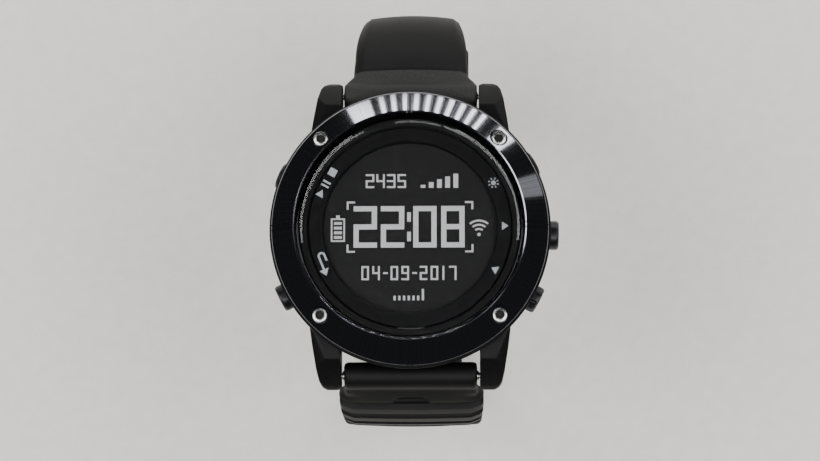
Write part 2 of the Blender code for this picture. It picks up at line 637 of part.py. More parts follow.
# ---- Buckle and keepers ----
def buckle(end, pin):
    """A U of metal on a cross bar, with a tongue that rests on the U's front."""
    inner = STRAP_END_WIDE / 2 + GAP
    outer = inner + BUCKLE_ARM
    front, corner = BUCKLE_LONG, 0.0035
    arc = [(corner * math.sin(t), corner * (1 - math.cos(t)))
           for t in (math.radians(22.5 * k) for k in range(5))]
    right = [(outer - dy, front - corner + dx) for dx, dy in arc]
    outline = [(outer, -BUCKLE_REAR)] + right + [(-x, y) for x, y in reversed(right)]
    outline += [(-outer, -BUCKLE_REAR), (-inner, -BUCKLE_REAR), (-inner, front - BUCKLE_FRONT),
                (inner, front - BUCKLE_FRONT), (inner, -BUCKLE_REAR)]
    frame = plate("buckle_frame", outline, BUCKLE_THICK / 2, POLISHED_BLACK, end)
    reach = outer - 0.0006
    combine(frame, "DIFFERENCE",
            rod("buckle_bore", BUCKLE_BAR_R + GAP, -reach - GAP, reach + GAP, None, pin, 12))
    rod("buckle_bar", BUCKLE_BAR_R, -reach, reach, STEEL, pin, 12)
    low = BUCKLE_THICK / 2 + GAP
    eye = BUCKLE_BAR_R + GAP
    wall = eye + 0.0008
    arm = [(0.0, wall), (0.0, eye + 0.0001), (eye + 0.0002, 0.0), (wall, 0.0), (wall + 0.0010, low - 0.0008),
           (front - BUCKLE_FRONT - 0.0010, low), (front + 0.0002, low),
           (front + 0.0006, low + 0.0004), (front + 0.0002, low + TONGUE_THICK - 0.0004),
           (front - 0.0030, low + TONGUE_THICK), (wall, low + TONGUE_THICK)]
    place = end @ Matrix(((0, 0, 1, 0), (1, 0, 0, 0), (0, 1, 0, 0), (0, 0, 0, 1)))
    tongue = washer("buckle_tongue", eye, wall, -TONGUE_WIDE / 2, TONGUE_WIDE / 2, STEEL, pin)
    combine(tongue, "UNION", plate("tongue_arm", arm, TONGUE_WIDE / 2, None, place))


def keeper(name, half, distance):
    """A loop of the strap's own silicone, with room for the tail on its outer side."""
    place = on_strap(half, distance)
    wide = blend_width(distance, half["widths"]) / 2 + GAP
    low = -half["thick"](distance) / 2 - GAP
    high = low + KEEPER_ROOM
    size = (2 * (wide + KEEPER_WALL), KEEPER_LONG, high - low + 2 * KEEPER_WALL)
    centre = (0, 0, (low + high) / 2)
    loop = block(name, size, centre, SILICONE, place, 0.0006)
    combine(loop, "DIFFERENCE", block(name + "_room", (2 * wide, 0.02, high - low), centre, None, place))


# ---- The watch ----
empty_the_scene()
WATCH = collection("smartwatch")
CUTTERS = collection("cutters")
BLACK_METAL = look("satin black steel", (0.012, 0.012, 0.013), 0.42, 0.9)
POLISHED_BLACK = look("polished black steel", (0.02, 0.02, 0.022), 0.15, 1.0)
STEEL = look("stainless steel", (0.55, 0.55, 0.54), 0.25, 1.0)
GLASS = look("glass", (0.6, 0.63, 0.65), 0.02)
SCREEN = look("display", (0.015, 0.015, 0.015), 0.3)
PLASTIC = look("black plastic", (0.008, 0.008, 0.009), 0.45)
RUBBER = look("seal rubber", (0.02, 0.02, 0.02), 0.7)
SILICONE = look("strap silicone", (0.016, 0.017, 0.017), 0.6)
BRASS = look("gold plated brass", (0.7, 0.5, 0.2), 0.3, 1.0)
GREEN = look("circuit board", (0.01, 0.08, 0.03), 0.5)
AMBER = look("ribbon film", (0.35, 0.15, 0.03), 0.5)
SILVER = look("battery foil", (0.5, 0.5, 0.52), 0.4, 0.7)

case_frame()
bezel()
crystal()
inside()
rear_cover()
for button_name, (button_clock, button_proud, button_cap) in BUTTONS.items():
    button(button_name, button_clock, button_proud, button_cap)
spring_bar("spring_bar_12", 1)
spring_bar("spring_bar_6", -1)
upper_strap()
lower_strap()
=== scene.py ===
import math
import bpy
from mathutils import Matrix, Vector


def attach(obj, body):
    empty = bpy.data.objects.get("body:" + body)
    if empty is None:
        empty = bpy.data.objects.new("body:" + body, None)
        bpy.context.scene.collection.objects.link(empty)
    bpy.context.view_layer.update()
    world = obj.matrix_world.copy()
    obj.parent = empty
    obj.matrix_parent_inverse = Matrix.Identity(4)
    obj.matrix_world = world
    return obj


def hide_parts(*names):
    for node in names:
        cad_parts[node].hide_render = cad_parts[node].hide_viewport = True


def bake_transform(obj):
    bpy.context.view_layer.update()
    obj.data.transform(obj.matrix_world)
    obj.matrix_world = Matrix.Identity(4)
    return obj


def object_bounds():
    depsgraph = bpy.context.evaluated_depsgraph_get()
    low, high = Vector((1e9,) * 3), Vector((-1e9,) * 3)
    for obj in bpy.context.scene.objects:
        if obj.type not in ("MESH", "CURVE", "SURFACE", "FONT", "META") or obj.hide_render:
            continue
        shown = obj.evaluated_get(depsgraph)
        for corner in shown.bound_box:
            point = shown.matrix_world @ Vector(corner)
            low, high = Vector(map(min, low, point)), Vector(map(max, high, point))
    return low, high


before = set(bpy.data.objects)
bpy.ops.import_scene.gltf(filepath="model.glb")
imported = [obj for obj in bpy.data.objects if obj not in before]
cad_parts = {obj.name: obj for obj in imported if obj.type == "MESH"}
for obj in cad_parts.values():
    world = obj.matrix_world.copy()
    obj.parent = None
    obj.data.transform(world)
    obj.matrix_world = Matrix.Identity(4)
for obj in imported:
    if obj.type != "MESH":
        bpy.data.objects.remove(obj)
cad_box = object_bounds()
MM = 0.001

# ---- Camera ----
# A long lens looks down on the dial from a little towards 6 o'clock and a touch towards 3 o'clock.
TILT = 80.0             # elevation, degrees
SIDE = 1.2              # degrees towards 3 o'clock
DISTANCE = 0.45         # metres
LENS_SHIFT = -0.004     # a share of the view's width
AIM = Vector((0.0, 0.0002, 0.0106))
look_from = Vector((math.sin(math.radians(SIDE)), -math.cos(math.radians(TILT)),
                    math.sin(math.radians(TILT)))).normalized()
camera_data = bpy.data.cameras.new("camera")
camera = bpy.data.objects.new("camera", camera_data)
bpy.context.scene.collection.objects.link(camera)
camera.location = AIM + DISTANCE * look_from
level = Vector((0.0, 1.0, 0.0)).cross(look_from).normalized()       # 12 o'clock stays straight up
camera.rotation_euler = Matrix((level, look_from.cross(level), look_from)).transposed().to_euler()
camera_data.lens_unit = "FOV"
VIEW_WIDE_MM = 145.1                # what the view's width covers at the display
camera_data.angle = 2 * math.atan(VIEW_WIDE_MM * MM / 2 / DISTANCE)
camera_data.shift_y = LENS_SHIFT
camera_data.clip_start = 0.01
bpy.context.scene.camera = camera

# ---- Floor ----
# A pale studio sweep, plain and matte, just under the lowest point of the strap.
FLOOR_SIZE, FLOOR_DROP = 4.0, 0.0005
bpy.ops.object.select_all(action="DESELECT")
bpy.ops.mesh.primitive_plane_add(size=FLOOR_SIZE, location=(0, 0, cad_box[0][2] - FLOOR_DROP))
floor = bpy.context.object
floor.name = "floor"


def linear(code):
    """An sRGB hex colour as linear red, green, blue and alpha."""
    parts = [int(code[i:i + 2], 16) / 255 for i in (1, 3, 5)]
    return (*[c / 12.92 if c <= 0.04045 else ((c + 0.055) / 1.055) ** 2.4 for c in parts], 1.0)


def add_node(tree, kind, settings=None, links=None):
    """A node with its settings; links maps an input's name or number to another node's output."""
    made = tree.nodes.new(kind)
    for key, value in (settings or {}).items():
        if isinstance(key, str) and hasattr(made, key):
            setattr(made, key, value)
        else:
            made.inputs[key].default_value = value
    for key, source in (links or {}).items():
        tree.links.new(source, made.inputs[key])
    return made


def new_finish(name, **shader_values):
    """A material with its Principled shader's fixed values set, and its tree and shader."""
    made = bpy.data.materials.new(name)
    made.use_nodes = True
    shader = made.node_tree.nodes["Principled BSDF"]
    for key, value in shader_values.items():
        shader.inputs[key.replace("_", " ").title().replace("Ior", "IOR")].default_value = value
    return made, made.node_tree, shader


def grain(tree, shader, size_mm, depth_mm, strength=0.4, detail=4.0):
    """A fine moulded or blasted grain: noise of a real size, as bump. Returns the noise node."""
    where = add_node(tree, "ShaderNodeTexCoord")
    noise = add_node(tree, "ShaderNodeTexNoise", {"Scale": 1.0 / (size_mm * MM), "Detail": detail},
                     {"Vector": where.outputs["Object"]})
    bump = add_node(tree, "ShaderNodeBump", {"Strength": strength, "Distance": depth_mm * MM},
                    {"Height": noise.outputs["Fac"]})
    tree.links.new(bump.outputs["Normal"], shader.inputs["Normal"])
    return noise


def vary(tree, source, low_value, high_value, socket):
    """Maps a 0 to 1 output to a range and feeds it to a socket."""
    mapped = add_node(tree, "ShaderNodeMapRange", {"To Min": low_value, "To Max": high_value},
                      {"Value": source})
    tree.links.new(mapped.outputs["Result"], socket)


def tint(tree, source, dark, light, socket, low_at=0.35, high_at=0.65):
    """Blends two colours by a 0 to 1 output."""
    ramp = add_node(tree, "ShaderNodeValToRGB", None, {"Fac": source})
    ramp.color_ramp.elements[0].position, ramp.color_ramp.elements[1].position = low_at, high_at
    ramp.color_ramp.elements[0].color, ramp.color_ramp.elements[1].color = linear(dark), linear(light)
    tree.links.new(ramp.outputs["Color"], socket)


def mottled(name, dark, light, size_mm, rough_low, rough_high, depth_mm=0.01, strength=0.25,
            specular=None, **values):
    """A finish whose grain, colour and roughness wander a little at a real size."""
    made, tree, shader = new_finish(name, **values)
    noise = grain(tree, shader, size_mm, depth_mm, strength)
    tint(tree, noise.outputs["Fac"], dark, light, shader.inputs["Base Color"])
    vary(tree, noise.outputs["Fac"], rough_low, rough_high, shader.inputs["Roughness"])
    if specular is not None:
        shader.inputs["Specular IOR Level"].default_value = specular
    return made


# matte paper sweep: an even pale tone with the faintest mottle
paper, paper_tree, paper_shader = new_finish("backdrop paper", roughness=0.9)
paper_noise = grain(paper_tree, paper_shader, 3.0, 0.05, 0.1)
tint(paper_tree, paper_noise.outputs["Fac"], "#efede7", "#f4f2ec", paper_shader.inputs["Base Color"])
floor.data.materials.append(paper)

# ---- Light ----
# A row of upright strip lamps low behind 12 o'clock, two high soft boxes at the sides, dim surroundings.
world = bpy.data.worlds.new("studio")
world.use_nodes = True
world.node_tree.nodes["Background"].inputs["Color"].default_value = linear("#d8dbe0")
world.node_tree.nodes["Background"].inputs["Strength"].default_value = 0.05
bpy.context.scene.world = world


def lamp(name, azimuth, elevation, distance, wide, tall, watts, colour="#ffffff"):
    """A rectangular lamp facing the watch; azimuth runs clockwise from 12 o'clock."""
    data = bpy.data.lights.new(name, "AREA")
    data.shape, data.size, data.size_y, data.energy = "RECTANGLE", wide, tall, watts
    data.color = linear(colour)[:3]
    made = bpy.data.objects.new(name, data)
    bpy.context.scene.collection.objects.link(made)
    a, e = math.radians(azimuth), math.radians(elevation)
    towards = Vector((math.sin(a) * math.cos(e), math.cos(a) * math.cos(e), math.sin(e)))
    made.location = AIM + distance * towards
    made.rotation_euler = towards.to_track_quat("Z", "Y").to_euler()
    made.visible_camera = False
    return made


STRIP_DISTANCE, STRIPS, FIRST_STRIP, STRIP_STEP = 1.0, 10, -11.5, 4.3
for i in range(STRIPS):
    lamp(f"strip_{i}", FIRST_STRIP + STRIP_STEP * i, 15.0, STRIP_DISTANCE, 0.026, 0.34, 0.32)
lamp("panel_left", -20.0, 15.0, STRIP_DISTANCE, 0.15, 0.34, 1.2)
lamp("panel_right", 38.0, 15.0, STRIP_DISTANCE, 0.13, 0.34, 1.0)
lamp("panel_dim", 62.0, 18.0, STRIP_DISTANCE, 0.16, 0.30, 0.11)
lamp("box_left", -105.0, 60.0, 1.3, 0.9, 0.7, 12.5)
lamp("box_right", 105.0, 60.0, 1.3, 0.9, 0.7, 11.0)
lamp("box_front", 180.0, 62.0, 1.4, 0.9, 0.5, 6.0)


# ---- Case ----
# Machined steel middle with four lugs, bead blasted and coated satin black. The side wall is turned,
# the lugs are milled from the same block, and five pockets are bored for the buttons.
CASE_R, CASE_TOP, CASE_BOTTOM, RIM = 24.9, 10.9, 1.2, 1.0
WAIST_R, FOOT_R, COVER_SEAT_R, FLANGE_R, BORE_R, SHELF_R = 24.3, 22.9, 21.3, 17.6, 19.5, 18.1
FLANGE_LOW, FLANGE_HIGH, SHELF = 3.0, 4.6, 0.9
LUG_GAP, LUG_WIDE, BAR_Y, BAR_Z, HEAD_R = 24.6, 4.9, 25.4, 3.9, 2.4
LUG_TIP = BAR_Y + 2.6
BUTTON_Z = 6.4
SCREW_CLOCKS, BEZEL_SCREW_R, BEZEL_SCREW_SEAT, COVER_SCREW_R = (45, 135, 225, 315), 22.3, 12.35, 19.7
BUTTONS = {"start": (-66.0, 0.8, 2.4), "back": (-117.5, 1.3, 2.4), "light": (60.5, 0.6, 2.4),
           "up": (91.5, 1.5, 2.6), "down": (118.8, 1.1, 2.4)}


def choose(obj):
    """Selects one object and makes it active."""
    bpy.ops.object.select_all(action="DESELECT")
    obj.select_set(True)
    bpy.context.view_layer.objects.active = obj


def edit(obj, mode="VERT"):
    choose(obj)
    bpy.ops.object.mode_set(mode="EDIT")
    bpy.ops.mesh.select_mode(type=mode)


def done():
    bpy.ops.object.mode_set(mode="OBJECT")


def settle(obj):
    """Puts an object's place into its mesh."""
    choose(obj)
    bpy.ops.object.transform_apply(location=True, rotation=True, scale=True)


def apply(obj, kind, **settings):
    """Adds a modifier with its settings and applies it."""
    choose(obj)
    modifier = obj.modifiers.new(kind.lower(), kind)
    for key, value in settings.items():
        setattr(modifier, key, value)
    bpy.ops.object.modifier_apply(modifier=modifier.name)


def soften(obj, width_mm, segments=2, angle=28.0):
    """Breaks every sharp edge, as a maker does, so that it catches light."""
    apply(obj, "BEVEL", width=width_mm * MM, segments=segments, limit_method="ANGLE",
          angle_limit=math.radians(angle), use_clamp_overlap=True, harden_normals=False)


def smooth(obj, angle=32.0):
    choose(obj)
    bpy.ops.object.shade_smooth_by_angle(angle=math.radians(angle))


def combine(obj, operation, *others):
    """Joins or cuts a piece with others, which are used up."""
    for other in others:
        apply(obj, "BOOLEAN", operation=operation, object=other, solver="EXACT")
        bpy.data.objects.remove(other, do_unlink=True)


def face_out(obj):
    edit(obj)
    bpy.ops.mesh.select_all(action="SELECT")
    bpy.ops.mesh.normals_make_consistent(inside=False)
    done()


def lathe(name, profile, sides=192, ring=True, place=None):
    """Turns a profile of (radius, height) in millimetres: a circle extruded and resized step by step."""
    r0, z0 = profile[0]
    bpy.ops.object.select_all(action="DESELECT")
    bpy.ops.mesh.primitive_circle_add(vertices=sides, radius=r0 * MM, location=(0, 0, 0))
    made = bpy.context.object
    made.name = name
    bpy.ops.object.mode_set(mode="EDIT")
    bpy.ops.mesh.select_all(action="SELECT")
    bpy.ops.transform.translate(value=(0, 0, z0 * MM))
    steps = list(profile[1:]) + ([profile[0]] if ring else [])
    for r, z in steps:
        bpy.ops.mesh.extrude_edges_move(TRANSFORM_OT_translate={"value": (0, 0, (z - z0) * MM)})
        bpy.ops.transform.resize(value=(r / r0, r / r0, 1), center_override=(0, 0, 0))
        r0, z0 = r, z
    bpy.ops.mesh.select_all(action="SELECT")
    if ring:
        bpy.ops.mesh.remove_doubles(threshold=0.000001)
    else:
        bpy.ops.mesh.fill_holes(sides=0)
    bpy.ops.mesh.select_all(action="SELECT")
    bpy.ops.mesh.normals_make_consistent(inside=False)
    bpy.ops.object.mode_set(mode="OBJECT")
    if place is not None:
        made.matrix_world = place
        settle(made)
    return made


def box(name, low_corner, high_corner, place=None):
    """A block between two corners, in millimetres."""
    size = [(h - l) * MM for l, h in zip(low_corner, high_corner)]
    middle = [(h + l) * MM / 2 for l, h in zip(low_corner, high_corner)]
    bpy.ops.object.select_all(action="DESELECT")
    bpy.ops.mesh.primitive_cube_add(size=1.0, location=middle)
    made = bpy.context.object
    made.name = name
    made.scale = size
    settle(made)
    if place is not None:
        made.matrix_world = place
        settle(made)
    return made


def slab(name, outline, thick_mm, place=None):
    """A flat outline in millimetres, filled and extruded up by its thickness."""
    bpy.ops.object.select_all(action="DESELECT")
    bpy.ops.mesh.primitive_circle_add(vertices=len(outline), radius=1.0, fill_type="NGON")
    made = bpy.context.object
    made.name = name
    for vertex, (x, y) in zip(made.data.vertices, outline):
        vertex.co = (x * MM, y * MM, 0.0)
    edit(made)
    bpy.ops.mesh.select_all(action="SELECT")
    bpy.ops.mesh.extrude_region_move(TRANSFORM_OT_translate={"value": (0, 0, thick_mm * MM)})
    bpy.ops.mesh.select_all(action="SELECT")
    bpy.ops.mesh.normals_make_consistent(inside=False)
    done()
    if place is not None:
        made.matrix_world = place
        settle(made)
    return made


def outward(clock, height_mm):
    """A place whose Z runs outward at a clock angle and whose Y is up."""
    a = math.radians(clock)
    out, up = Vector((math.sin(a), math.cos(a), 0.0)), Vector((0.0, 0.0, 1.0))
    return Matrix.Translation((0, 0, height_mm * MM)) @ Matrix((up.cross(out), up, out)).transposed().to_4x4()


def upright(clock, radius_mm):
    a = math.radians(clock)
    return Matrix.Translation((radius_mm * MM * math.sin(a), radius_mm * MM * math.cos(a), 0.0))


def across(y_mm, z_mm):
    """A place whose Z runs along the wrist's width, through the given height and reach."""
    return Matrix.Translation((0, y_mm * MM, z_mm * MM)) @ Matrix.Rotation(math.pi / 2, 4, "Y")


SIDE_ON = Matrix(((0, 0, 1, 0), (1, 0, 0, 0), (0, 1, 0, 0), (0, 0, 0, 1)))    # X, Y drawn as world Y, Z


def lug(side, end):
    """One lug: a side outline crossed with a plan outline, its edges broken."""
    inner, outer = LUG_GAP / 2, LUG_GAP / 2 + LUG_WIDE
    clear = COVER_SEAT_R + 0.7
    root_in, root_out = (math.sqrt(clear ** 2 - x ** 2) for x in (inner, outer + 1.1))
    plan = [(inner, root_in), (outer + 1.1, root_out), (outer + 0.8, root_out + 3.0), (outer + 0.2, 20.2),
            (outer - 0.5, LUG_TIP - 3.4), (outer - 0.95, LUG_TIP - 1.5), (outer - 1.5, LUG_TIP - 0.6),
            (outer - 2.3, LUG_TIP - 0.15), (inner + 0.9, LUG_TIP), (inner, LUG_TIP - 0.5)]
    body = slab("lug", [(side * x, end * y) for x, y in plan], 12.0)
    top = CASE_TOP - 1.3
    section = [(12.0, top), (18.5, top), (LUG_TIP - 5.0, BAR_Z + 4.7), (LUG_TIP - 0.8, BAR_Z + 0.8),
               (LUG_TIP - 0.1, BAR_Z - 0.3), (LUG_TIP - 0.15, BAR_Z - 1.4), (LUG_TIP - 0.9, BAR_Z - 2.3),
               (LUG_TIP - 2.2, CASE_BOTTOM + 0.15), (12.0, CASE_BOTTOM + 0.15)]
    place = Matrix.Translation((side * (inner - 1.0) * MM - (8.0 * MM if side < 0 else 0), 0, 0)) @ SIDE_ON
    shape = slab("lug_side", [(end * y, z) for y, z in section], 8.0, place)
    combine(body, "INTERSECT", shape)
    # the crease: the outer front corner is planed off, lower towards the outside
    crease = box("crease", (-8, -8, 0), (8, 8, 8))
    crease.matrix_world = (Matrix.Translation((side * (outer - 1.6) * MM, end * 22.0 * MM, 8.75 * MM))
                           @ Matrix.Rotation(math.radians(side * 24.0), 4, "Y")
                           @ Matrix.Rotation(math.radians(-end * 20.0), 4, "X"))
    settle(crease)
    combine(body, "DIFFERENCE", crease)
    soften(body, 0.28, 3, 20.0)
    return body


waist = CASE_TOP - RIM - 0.6
case = lathe("case", [(SHELF_R, CASE_TOP), (CASE_R - 0.15, CASE_TOP), (CASE_R, CASE_TOP - 0.15),
                      (CASE_R, CASE_TOP - RIM), (WAIST_R, waist), (WAIST_R, 4.3), (24.15, 3.7),
                      (FOOT_R + 0.1, CASE_BOTTOM + 0.15), (FOOT_R - 0.2, CASE_BOTTOM),
                      (COVER_SEAT_R, CASE_BOTTOM), (COVER_SEAT_R, FLANGE_LOW), (FLANGE_R, FLANGE_LOW),
                      (FLANGE_R, FLANGE_HIGH), (BORE_R, FLANGE_HIGH), (BORE_R, CASE_TOP - SHELF),
                      (SHELF_R, CASE_TOP - SHELF)], 240)
combine(case, "UNION", *[lug(side, end) for side in (1, -1) for end in (1, -1)])
for end in (1, -1):
    flat = BAR_Y - HEAD_R - 0.3
    ys = sorted((end * flat, end * (flat + 4.0)))
    combine(case, "DIFFERENCE", box("flat", (-LUG_GAP / 2, ys[0], -1), (LUG_GAP / 2, ys[1], waist)),
            lathe("bar_hole", [(0.85, 14.9), (0.85, -14.9)], 32, False, across(end * BAR_Y, BAR_Z)))
for clock in SCREW_CLOCKS:
    combine(case, "DIFFERENCE", lathe("thread", [(1.0, CASE_TOP + 1), (1.0, 7.0)], 24, False,
                                      upright(clock, BEZEL_SCREW_R)),
            lathe("thread", [(0.85, FLANGE_HIGH + 1), (0.85, 2.0)], 24, False, upright(clock, COVER_SCREW_R)))
for clock, proud, cap in BUTTONS.values():
    pocket = [(cap + 0.55, 27.0), (cap + 0.55, WAIST_R + 0.1), (cap + 0.3, WAIST_R - 0.35),
              (cap + 0.3, 22.4), (1.9, 22.4), (1.9, 20.7), (1.3, 20.7), (1.3, 18.0)]
    combine(case, "DIFFERENCE", lathe("pocket", pocket, 64, False, outward(clock, BUTTON_Z)))
smooth(case, 30)

# steel, bead blasted then coated black: satin, a grit of 0.12 mm drawn a little coarse so that it shows
coated = mottled("coated steel, bead blasted", "#0a0a0b", "#111112", 0.22, 0.36, 0.5, 0.012, 0.35, 0.12,
                 metallic=0.1)
case.data.materials.append(coated)
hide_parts("case_frame")
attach(case, "case")

# ---- Bezel ----
# A steel ring polished and coated black, its face finished with fine lines from the centre outward.
# Four screws hold it down in sunken seats, and paired slits mark each quarter.
BEZEL_OUT, BEZEL_IN, BEZEL_SEAT, BEZEL_TOP, BEZEL_EDGE = 24.5, 20.1, 19.65, 14.5, 11.7
CRYSTAL_TOP, CRYSTAL_LOW = 13.2, 11.9
bezel = lathe("bezel_ring", [(BEZEL_IN, BEZEL_TOP - 0.45), (BEZEL_IN + 0.07, BEZEL_TOP - 0.2),
                             (BEZEL_IN + 0.24, BEZEL_TOP - 0.04), (BEZEL_IN + 0.45, BEZEL_TOP),
                             (BEZEL_OUT - 0.35, BEZEL_EDGE + 0.25),
                             (BEZEL_OUT - 0.12, BEZEL_EDGE + 0.08), (BEZEL_OUT, BEZEL_EDGE - 0.08),
                             (BEZEL_OUT, CASE_TOP + 0.38), (BEZEL_OUT - 0.08, CASE_TOP + 0.3),
                             (BEZEL_SEAT, CASE_TOP + 0.3), (BEZEL_SEAT, CRYSTAL_TOP - 0.1),
                             (BEZEL_SEAT + 0.08, CRYSTAL_TOP)], 288)
for quarter in range(4):
    turn = Matrix.Rotation(math.radians(90.0 * quarter), 4, "Z")
    slope = math.atan2(BEZEL_TOP - BEZEL_EDGE, BEZEL_OUT - BEZEL_IN)
    for side in (-0.42, 0.42):
        slit = box("slit", (side - 0.09, -3.2, -0.22), (side + 0.09, 3.2, 1.5),
                   turn @ Matrix.Translation((0, 22.3 * MM, 13.1 * MM)) @ Matrix.Rotation(-slope, 4, "X"))
        combine(bezel, "DIFFERENCE", slit)
for clock in SCREW_CLOCKS:
    seat = [(1.6, 16.0), (1.6, 12.2), (1.0, 12.2), (1.0, 10.5)]
    combine(bezel, "DIFFERENCE", lathe("seat", seat, 64, False, upright(clock, BEZEL_SCREW_R)))
smooth(bezel, 24)

# polished and coated steel: mirror black, broken by faint lines 0.3 mm apart that run outward
polished, polished_tree, polished_shader = new_finish("coated steel, lined and polished", metallic=1.0)
spot = add_node(polished_tree, "ShaderNodeTexCoord")
split = add_node(polished_tree, "ShaderNodeSeparateXYZ", None, {"Vector": spot.outputs["Object"]})
angle = add_node(polished_tree, "ShaderNodeMath", {"operation": "ARCTAN2"},
                 {0: split.outputs["Y"], 1: split.outputs["X"]})
LINES_ROUND = 2 * math.pi * BEZEL_SCREW_R / 0.3
around = add_node(polished_tree, "ShaderNodeMath", {"operation": "MULTIPLY", 1: LINES_ROUND / (2 * math.pi)},
                  {0: angle.outputs["Value"]})
lines = add_node(polished_tree, "ShaderNodeTexNoise", {"noise_dimensions": "1D", "Scale": 1.0, "Detail": 3.0},
                 {"W": around.outputs["Value"]})
line_bump = add_node(polished_tree, "ShaderNodeBump", {"Strength": 0.06, "Distance": 0.01 * MM},
                     {"Height": lines.outputs["Fac"]})
polished_tree.links.new(line_bump.outputs["Normal"], polished_shader.inputs["Normal"])
tint(polished_tree, lines.outputs["Fac"], "#7c7c82", "#8c8c92", polished_shader.inputs["Base Color"])
vary(polished_tree, lines.outputs["Fac"], 0.05, 0.11, polished_shader.inputs["Roughness"])
bezel.data.materials.append(polished)
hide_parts("bezel")
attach(bezel, "case")

# ---- Screws ----
# Turned stainless cap screws with a hex socket: four in the bezel, four smaller ones in the back.
stainless = mottled("stainless steel, turned", "#a9a9a6", "#c6c6c3", 0.15, 0.2, 0.32, 0.004, 0.1,
                    metallic=1.0)
# painted shade in the driver socket: a near black copy of the steel on its deep walls, where shade falls
painted_shade = mottled("stainless steel, oxide in the socket", "#0b0a0a", "#191816", 0.1, 0.4, 0.6, 0.004, 0.3,
                metallic=0.5)


def screw(name, head_r, head, shank_r, shank, hex_r, place):
    """A cap screw with its head up: a domed rim, a flat top and a socket with a drilled floor."""
    made = lathe(name, [(shank_r, -shank), (shank_r, 0), (head_r, 0), (head_r, head - 0.2),
                        (head_r - 0.06, head - 0.07), (head_r - 0.2, head)], 48, False)
    socket = lathe("socket", [(hex_r, head + 1.0), (hex_r, head - 0.6)], 6, False)
    lead_in = lathe("lead_in", [(hex_r + 0.12, head + 0.1), (hex_r - 0.12, head - 0.14)], 48, False)
    combine(made, "DIFFERENCE", socket, lead_in)
    made.data.materials.append(stainless)
    made.data.materials.append(painted_shade)
    # faces deep in the socket get the painted shade
    for face in made.data.polygons:
        inside = math.hypot(face.center.x, face.center.y) < (hex_r - 0.02) * MM
        sunk = (head - 0.62) * MM < face.center.z < (head - 0.12) * MM
        face.material_index = 1 if inside and sunk else 0
    made.matrix_world = place
    settle(made)
    face_out(made)
    smooth(made, 30)
    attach(made, "case")
    return made


for i, clock in enumerate(SCREW_CLOCKS):
    place = (upright(clock, BEZEL_SCREW_R) @ Matrix.Translation((0, 0, BEZEL_SCREW_SEAT * MM))
             @ Matrix.Rotation(0.4 + 0.9 * i, 4, "Z"))
    made = screw(f"bezel_cap_screw_{i + 1}", 1.3, 0.8, 0.7, 4.9, 0.75, place)
    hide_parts(f"bezel_screw_{i + 1}")
    place = (upright(clock, COVER_SCREW_R) @ Matrix.Translation((0, 0, 1.2 * MM))
             @ Matrix.Rotation(math.pi, 4, "X") @ Matrix.Rotation(0.7 * i, 4, "Z"))
    made = screw(f"back_cap_screw_{i + 1}", 1.0, 0.9, 0.55, 3.1, 0.6, place)
    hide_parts(f"rear_screw_{i + 1}")

# ---- Crystal ----
# A flat mineral crystal with a polished bevel round its edge, pressed on a rubber gasket.
crystal = lathe("crystal_glass", [(BEZEL_SEAT - 0.3, CRYSTAL_LOW), (BEZEL_SEAT - 0.3, CRYSTAL_TOP - 0.4),
                                  (BEZEL_SEAT - 0.7, CRYSTAL_TOP)], 240, False)
smooth(crystal, 20)
glass, glass_tree, glass_shader = new_finish("mineral glass, polished", roughness=0.0, ior=1.5)
glass_shader.inputs["Transmission Weight"].default_value = 1.0
# lamps reach the dial through the glass, whose own tint is too slight to matter
through = add_node(glass_tree, "ShaderNodeBsdfTransparent")
rays = add_node(glass_tree, "ShaderNodeLightPath")
blend_in = add_node(glass_tree, "ShaderNodeMixShader", None,
                    {0: rays.outputs["Is Shadow Ray"], 1: glass_shader.outputs["BSDF"],
                     2: through.outputs["BSDF"]})
glass_tree.links.new(blend_in.outputs["Shader"], glass_tree.nodes["Material Output"].inputs["Surface"])
crystal.data.materials.append(glass)
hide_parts("crystal")
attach(crystal, "case")

gasket = lathe("crystal_seal", [(SHELF_R + 0.15, 11.7), (SHELF_R + 0.25, 11.75), (BEZEL_SEAT - 0.4, 11.75),
                                (BEZEL_SEAT - 0.3, 11.7), (BEZEL_SEAT - 0.3, 11.1),
                                (BEZEL_SEAT - 0.4, 11.05), (SHELF_R + 0.25, 11.05), (SHELF_R + 0.15, 11.1)],
               192)
smooth(gasket, 40)
# nitrile seal rubber: dull black with a soft, uneven sheen
nitrile = mottled("seal rubber, moulded", "#050505", "#090909", 0.3, 0.6, 0.75, 0.01, 0.3, 0.1)
gasket.data.materials.append(nitrile)
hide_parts("crystal_gasket")
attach(gasket, "case")

# ---- Dial ring ----
# A moulded black ring under the crystal, stepped down to the display, with printed button signs.
RING_LOW, RING_TOP, WINDOW_R = 10.6, 11.6, 15.2
ring = lathe("dial_surround", [(SHELF_R - 0.3, RING_LOW), (SHELF_R - 0.3, RING_TOP),
                               (WINDOW_R + 0.35, RING_TOP),
                               (WINDOW_R + 0.1, RING_TOP - 0.2), (WINDOW_R, RING_TOP - 0.6),
                               (WINDOW_R, RING_LOW)], 240)
smooth(ring, 25)
moulded = mottled("black plastic, moulded", "#040405", "#070708", 0.12, 0.4, 0.55, 0.006, 0.25, 0.08)
ring.data.materials.append(moulded)
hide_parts("dial_ring")
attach(ring, "case")

SIGN_R, INK = 16.75, 0.03


def flat_shape(name, points):
    return slab(name, points, INK)


def joined(name, shapes):
    """Makes one object of several shapes."""
    bpy.ops.object.select_all(action="DESELECT")
    for shape in shapes:
        shape.select_set(True)
    bpy.context.view_layer.objects.active = shapes[0]
    if len(shapes) > 1:
        bpy.ops.object.join()
    shapes[0].name = name
    return shapes[0]


def sign(name, shapes, clock):
    """One printed sign, its top outward, set on the ring."""
    made = joined(name, shapes)
    made.matrix_world = (Matrix.Rotation(-math.radians(clock), 4, "Z")
                         @ Matrix.Translation((0, SIGN_R * MM, (RING_TOP + 0.01) * MM)))
    settle(made)
    made.data.materials.append(ink)
    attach(made, "case")


